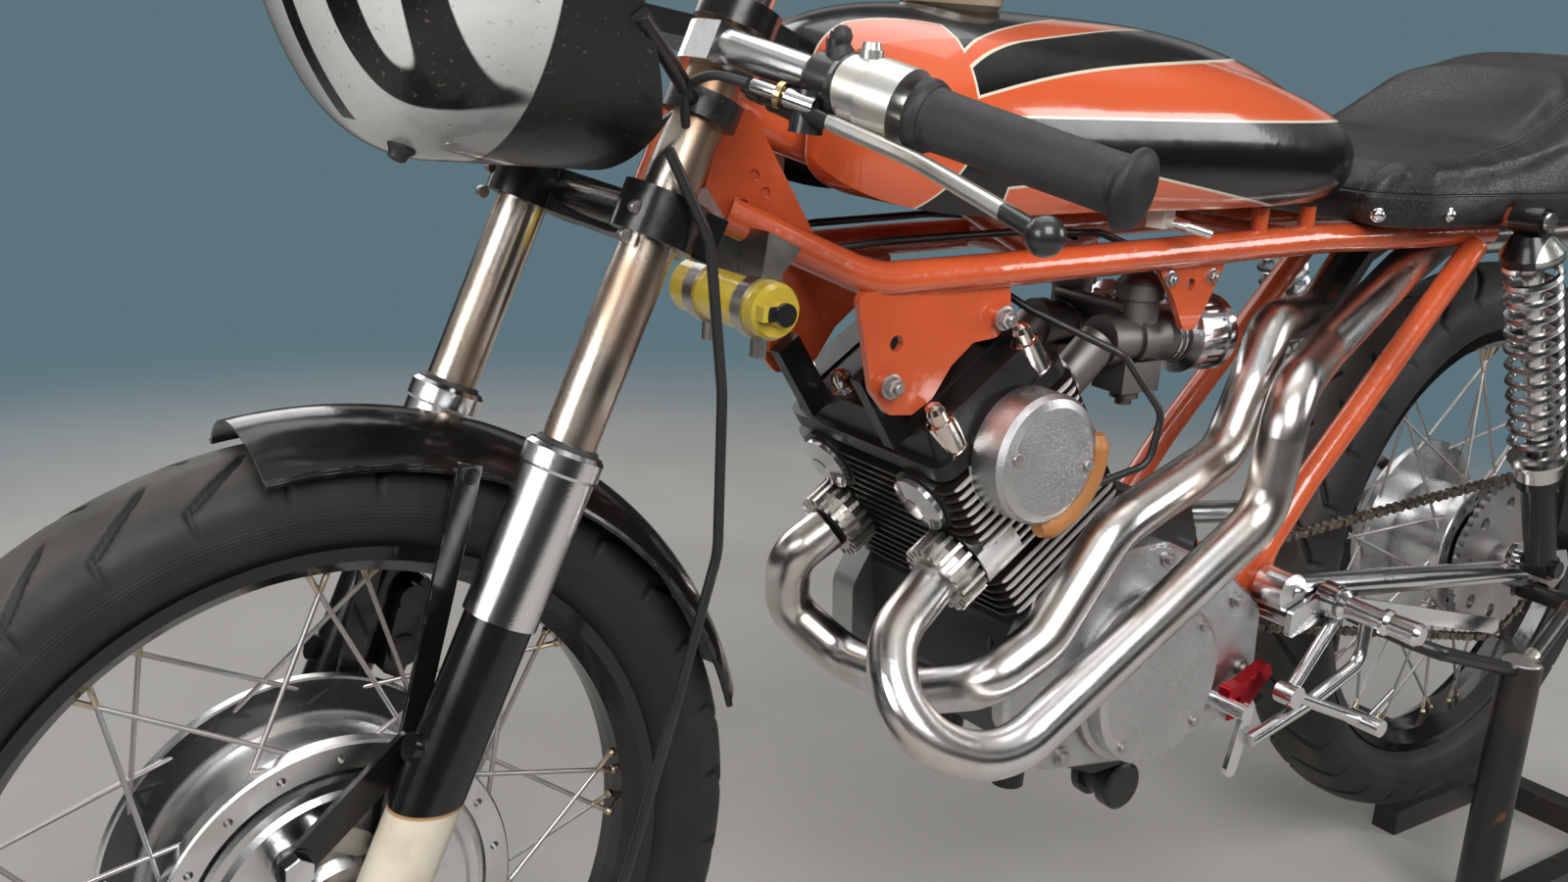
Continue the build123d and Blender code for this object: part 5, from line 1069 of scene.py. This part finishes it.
class MOTO_OT_suspension(Operator):
    """Finishes the fork, mudguard, swinging arm, shocks and footrests and fits the fork's trim"""

    bl_idname = "moto.suspension"
    bl_label = "Fork and suspension"

    def execute(self, context):
        rust = (0.30, 0.17, 0.09)
        stained = bright_metal("stanchion_chrome", (0.80, 0.73, 0.65), 0.14, stain=0.95, stain_colour=rust)
        dress(stained, "fork_stanchions")
        dress(chrome(), "fork_sleeves", "swingarm", "shock_springs", "clip_ons")
        dress(leg_finish(), "fork_legs")
        dress(black_enamel("yoke_enamel", 0.26, wear=0.4), "fork_yokes")
        dress(black_enamel("mudguard_enamel", 0.17, wear=0.9), "front_mudguard")
        dress(axle_finish(), "front_axle")
        dress(shock_finish(), "shock_bodies")
        dress(footrest_finish(), "footrests")
        self.fork_trim()
        return {"FINISHED"}

    def fork_trim(self):
        """Small screws in the sleeves, dust lips above them and bolts of the lower yoke."""
        down = Vector((tan(RAKE), 0, -1)).normalized()
        ahead = Vector((cos(RAKE), 0, sin(RAKE)))
        screws, lips = Piece(), Piece()
        for s in SIDES:
            for turn in (35, -40):
                out = ahead * cos(radians(turn)) + Vector((0, s * sin(radians(turn)), 0))
                centre = Vector((fork_x(SLEEVE_SCREW_Z), s * FORK_Y, SLEEVE_SCREW_Z))
                screws.screw(centre + out * 0.0232, out, 0.0026)
            top = Vector((fork_x(SLEEVE_TOP_Z), s * FORK_Y, SLEEVE_TOP_Z))
            lips.turned(top, down, ((-0.003, 0.0178), (-0.0025, 0.0192), (0.0, 0.0205), (0.001, 0.0200)), 40)
            for z in (0.7437, 0.7603):
                screws.screw((fork_x(z) + 0.027, s * 0.0955, z), (0, s, 0), 0.0045)
        screws.done("fork_screws", "fork", steel(), "steel")
        lips.done("fork_dust_lips", "fork", black_rubber(), "rubber")


class MOTO_OT_controls(Operator):
    """Models the knurled grips and the lever fittings and finishes the levers"""

    bl_idname = "moto.controls"
    bl_label = "Handlebars and controls"

    def execute(self, context):
        dress(lever_finish(), "control_levers")
        piece = Piece()
        for s in SIDES:
            self.grip(piece, s)
        obj = piece.done("knurled_grips", "fork", grip_finish(), "rubber", sharp=70)
        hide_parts("grips")
        self.adjusters()
        return {"FINISHED"}

    def grip(self, piece, s):
        """A rubber grip that narrows between its two flanges."""
        start, end = on_bar(GRIP_START, s), on_bar(GRIP_END, s)
        # Distance along the bar and radius, in millimetres
        rows = (
            (0, 20), (3, 21), (6, 20.6), (9, 19), (15, 17.2), (60, 16.6), (120, 16.2), (128, 18),
            (130.5, 21.4), (132, 22), (134, 21.6), (136, 19.5), (138.6, 13.5), (139, 8),
        )
        line = smooth_line([(distance / 1000, r / 1000) for distance, r in rows], 8)
        piece.turned(start, end - start, [(0.0001, 0.0113), *line], 96)

    def adjusters(self):
        """Cable adjusters with brass rings, perch bolts and the short ends of the cables."""
        barrel = ((-0.006, 0.0055), (0.012, 0.0055), (0.013, 0.0042), (0.034, 0.0042), (0.035, 0.0034))
        ring = ((0.0135, 0.0050), (0.0140, 0.0078), (0.0175, 0.0078), (0.0180, 0.0050))
        bolt = (
            (-0.006, 0.0075), (0.002, 0.0075), (0.004, 0.006), (0.005, 0.0052), (0.009, 0.0062),
            (0.013, 0.0048), (0.015, 0.002),
        )
        plated, brass, dark = Piece(), Piece(), Piece()
        for s in SIDES:
            start = on_bar(0.182, s, 0.018, -0.012)
            end = on_bar(0.150, s, 0.026, -0.010)
            along = end - start
            plated.turned(start, along, barrel)
            brass.turned(start, along, ring, 30)
            dark.turned(on_bar(0.186, s, 0.0, 0.018), (0, 0, 1), bolt, 16)
            places = ((0.128, 0.030, -0.012), (0.108, 0.028, -0.026), (0.096, 0.016, -0.050))
            route = smooth_line([end, *[on_bar(y, s, ahead, above) for y, ahead, above in places]], 8)
            dark.pipe(route, 0.0029)
        plated.done("cable_adjusters", "fork", chrome(), "chrome")
        brass.done("adjuster_rings", "fork", bright_metal("ring_brass", COLOURS["brass"], 0.25), "brass")
        dark.done("perch_bolts", "fork", black_rubber(), "rubber")


class MOTO_OT_bodywork(Operator):
    """Paints the tank and the bowl and fits their small trim"""

    bl_idname = "moto.bodywork"
    bl_label = "Tank and bowl"

    def execute(self, context):
        paint = context.scene.moto_paint
        dress(tank_finish(paint), "fuel_tank")
        dress(bowl_finish(paint), "fairing")
        dress(enamel("cap_enamel", COLOURS["tan_enamel"], 0.4, wear=0.7, lumps=0.0004), "filler_cap")
        dress(tap_finish(), "fuel_tap")
        plug = Piece()
        rows = (
            (-0.004, 0.0045), (0.0, 0.0085), (0.003, 0.0088), (0.0065, 0.0062), (0.010, 0.0056),
            (0.011, 0.003),
        )
        plug.turned((1.2375, 0.0335, 0.7900), (0.45, 0.05, -0.89), rows)
        plug.done("bowl_plug", "fork", black_rubber(), "rubber")
        return {"FINISHED"}


class MOTO_OT_seat(Operator):
    """Models the seat's cushion, swells it as cloth and fits its snaps"""

    bl_idname = "moto.seat"
    bl_label = "Seat"

    def execute(self, context):
        seat = context.scene.moto_seat
        cushion = self.cushion(context, seat)
        cushion.data.materials.clear()
        cushion.data.materials.append(vinyl_finish())
        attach(cushion, "chassis")
        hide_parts("seat")
        snaps = Piece()
        for s in SIDES:
            for x, z in ((0.376, 0.740), (0.305, 0.742), (0.185, 0.737)):
                hit, place, normal, _ = cushion.ray_cast(Vector((x, s * 0.3, z)), Vector((0, -s, 0)))
                if not hit:
                    raise RuntimeError("a seat snap misses the seat")
                snaps.dome(place, normal, 0.0054)
        snaps.done("seat_snaps", "chassis", chrome(), "chrome")
        return {"FINISHED"}

    def cushion(self, context, seat):
        """A cushion from the CAD seat: remeshed, hollowed in front of the hump and swollen."""
        obj = added("seat_cushion", NODES["seat"].data.copy())
        remesh = obj.modifiers.new("Remesh", "REMESH")
        remesh.mode = "VOXEL"
        remesh.voxel_size = seat.grid
        self.apply(context, obj)
        low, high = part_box("seat")
        for vertex in obj.data.vertices:
            x, y, z = vertex.co
            if z < HUMP_Z:
                continue
            # The hump's front is scooped out and its top is rounded off to each side
            lift = min(1.0, (z - HUMP_Z) / 0.04)
            hollow = max(0.0, 1 - (y / 0.095) ** 2)
            vertex.co.x -= seat.scoop * lift * hollow * min(1.0, max(0.0, (x + 0.03) / 0.12))
            round_off = sqrt(max(0.0, 1 - (abs(y) / 0.130) ** 3.2))
            vertex.co.z = HUMP_Z + (z - HUMP_Z) * round_off - 0.003 * lift
        smooth = obj.modifiers.new("Smooth", "SMOOTH")
        smooth.iterations = 6
        self.apply(context, obj)
        rest = [vertex.co.copy() for vertex in obj.data.vertices]
        self.swell(context, obj, seat)
        for vertex, start in zip(obj.data.vertices, rest):
            step = vertex.co - start
            if step.length > seat.most:
                step = step.normalized() * seat.most
            place = start + step
            vertex.co = [min(max(c, a), b) for c, a, b in zip(place, low, high)]
        obj.modifiers.new("Subdivision", "SUBSURF").levels = 1
        obj.modifiers["Subdivision"].render_levels = 1
        obj.data.shade_smooth()
        return obj

    def swell(self, context, obj, seat):
        """Fills the cover with pressure while its lower edge stays on the rails."""
        held = obj.vertex_groups.new(name="held")
        held.add([v.index for v in obj.data.vertices if v.co.z < SEAT_EDGE_Z], 1.0, "REPLACE")
        cloth = obj.modifiers.new("Cloth", "CLOTH")
        cloth.settings.quality = 3
        cloth.settings.use_pressure = True
        cloth.settings.uniform_pressure_force = seat.pressure
        cloth.settings.effector_weights.gravity = 0
        cloth.settings.vertex_group_mass = "held"
        cloth.point_cache.frame_start = 1
        cloth.point_cache.frame_end = seat.steps
        for step in range(1, seat.steps + 1):
            context.scene.frame_set(step)
        self.apply(context, obj)
        context.scene.frame_set(1)

    def apply(self, context, obj):
        """Replaces the object's mesh by the shape its modifiers give."""
        shape = bpy.data.meshes.new_from_object(obj.evaluated_get(context.evaluated_depsgraph_get()))
        obj.modifiers.clear()
        obj.data = shape


class MOTO_OT_stage(Operator):
    """Sets the pale floor, the backdrop's colour, the soft lamps and the camera"""

    bl_idname = "moto.stage"
    bl_label = "Stage"

    def execute(self, context):
        stage = context.scene.moto_stage
        self.floor(stage.solid, stage.faded)
        self.world(context.scene, stage.backdrop)
        self.lamp("key_lamp", (1.9, 2.4, 2.6), 1.8, stage.key_power)
        self.lamp("front_lamp", (3.4, 0.4, 1.5), 1.2, stage.fill_power)
        self.lamp("top_lamp", (0.3, -0.6, 3.0), 2.4, stage.fill_power)
        self.lamp("rear_lamp", (-1.8, 2.0, 1.6), 1.2, stage.fill_power)
        self.lamp("right_lamp", (0.9, -3.0, 1.9), 1.8, stage.fill_power)
        self.camera(context.scene)
        return {"FINISHED"}

    def floor(self, solid, faded):
        """A pale floor that fades into the backdrop's colour all round."""
        mesh = bmesh.new()
        middle = Matrix.Translation((MIDDLE_X, 0, 0))
        bmesh.ops.create_grid(mesh, x_segments=40, y_segments=40, size=faded, matrix=middle)
        data = bpy.data.meshes.new("studio_floor")
        mesh.to_mesh(data)
        mesh.free()
        g = Graph("floor_plaster")
        pale = g.mix(g.patches(2, 0.3, 0.7, 3), (0.46, 0.44, 0.41), (0.40, 0.38, 0.36))
        rays = g.node("ShaderNodeLightPath")
        seen = rays["Is Camera Ray"] | rays["Is Glossy Ray"] | rays["Is Transmission Ray"]
        away = ((g.x - MIDDLE_X) ** 2 + g.y**2) ** 0.5
        g.link(g.shader.inputs["Alpha"], g.rise(away, faded, solid))
        data.materials.append(g.finish(g.mix(seen, (0.11, 0.105, 0.10), pale), 0.75))
        added("studio_floor", data)

    def world(self, scene, colour):
        """A plain backdrop colour for the camera and a studio of bright and dark bands for reflections."""
        g = Graph("studio", "worlds")
        scene.world = g.block
        # Heights and brightness of the bands that metal reflects
        bands = (
            (0.0, 0.05), (0.10, 0.02), (0.18, 0.30), (0.32, 0.85), (0.38, 0.08), (0.62, 0.10), (0.72, 1.0),
        )
        stops = [(height, (level, level * 0.99, level * 0.96)) for height, level in bands]
        studio = g.node("ShaderNodeValToRGB", {"stops": stops}, {"Fac": g.z})["Color"]
        rays = g.node("ShaderNodeLightPath")
        light = g.mix(rays["Is Glossy Ray"], (0.20, 0.22, 0.23), studio)
        for kind in ("Is Camera Ray", "Is Transmission Ray"):
            light = g.mix(rays[kind], light, colour)
        g.link(g.shader.inputs["Color"], light)
        g.shader.inputs["Strength"].default_value = 0.55

    def lamp(self, name, place, size, power):
        """A soft square lamp that points at the machine."""
        data = bpy.data.lights.new(name, "AREA")
        data.energy = power
        data.size = size
        obj = added(name, data)
        obj.location = place
        obj.rotation_euler = (Vector(LAMP_AIM) - Vector(place)).to_track_quat("-Z", "Y").to_euler()

    def camera(self, scene):
        """The photograph's camera."""
        forward = Vector((-0.577, -0.772, -0.266)).normalized()
        right = Vector((-0.810, 0.582, 0.067)).normalized()
        up = right.cross(forward).normalized()
        right = forward.cross(up).normalized()
        data = bpy.data.cameras.new("camera")
        obj = added("camera", data)
        turn = Matrix((right, up, -forward)).transposed().to_4x4()
        obj.matrix_world = Matrix.Translation((1.60586, 0.91150, 0.88356)) @ turn
        data.sensor_width = 36
        data.lens = 36.525
        scene.camera = obj
        scene.render.resolution_x = 1600
        scene.render.resolution_y = 900
        scene.view_settings.view_transform = "Standard"


OPERATORS = (
    MOTO_OT_chassis, MOTO_OT_engine, MOTO_OT_wheels, MOTO_OT_chain, MOTO_OT_suspension, MOTO_OT_controls,
    MOTO_OT_bodywork, MOTO_OT_seat, MOTO_OT_stage,
)
SETTINGS = {
    "moto_paint": MotorcyclePaint,
    "moto_wheels": MotorcycleWheels,
    "moto_seat": MotorcycleSeat,
    "moto_stage": MotorcycleStage,
}


class MOTO_PT_panel(Panel):
    """Buttons for the motorcycle's pieces"""

    bl_idname = "MOTO_PT_panel"
    bl_label = "Motorcycle"
    bl_space_type = "VIEW_3D"
    bl_region_type = "UI"
    bl_category = "Motorcycle"

    def draw(self, context):
        for operator in OPERATORS:
            self.layout.operator(operator.bl_idname)
        for name, settings in SETTINGS.items():
            box = self.layout.box()
            for key in settings.__annotations__:
                box.prop(getattr(context.scene, name), key)


def register():
    for item in (*SETTINGS.values(), *OPERATORS, MOTO_PT_panel):
        bpy.utils.register_class(item)
    for name, settings in SETTINGS.items():
        setattr(bpy.types.Scene, name, PointerProperty(type=settings))


def unregister():
    for name in SETTINGS:
        delattr(bpy.types.Scene, name)
    for item in (MOTO_PT_panel, *reversed(OPERATORS), *SETTINGS.values()):
        bpy.utils.unregister_class(item)


def main():
    """Builds every piece and the stage."""
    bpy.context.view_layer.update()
    register()
    bpy.ops.moto.chassis()
    bpy.ops.moto.engine()
    bpy.ops.moto.wheels()
    bpy.ops.moto.chain()
    bpy.ops.moto.suspension()
    bpy.ops.moto.controls()
    bpy.ops.moto.bodywork()
    bpy.ops.moto.seat()
    bpy.ops.moto.stage()


if __name__ == "__main__":
    main()
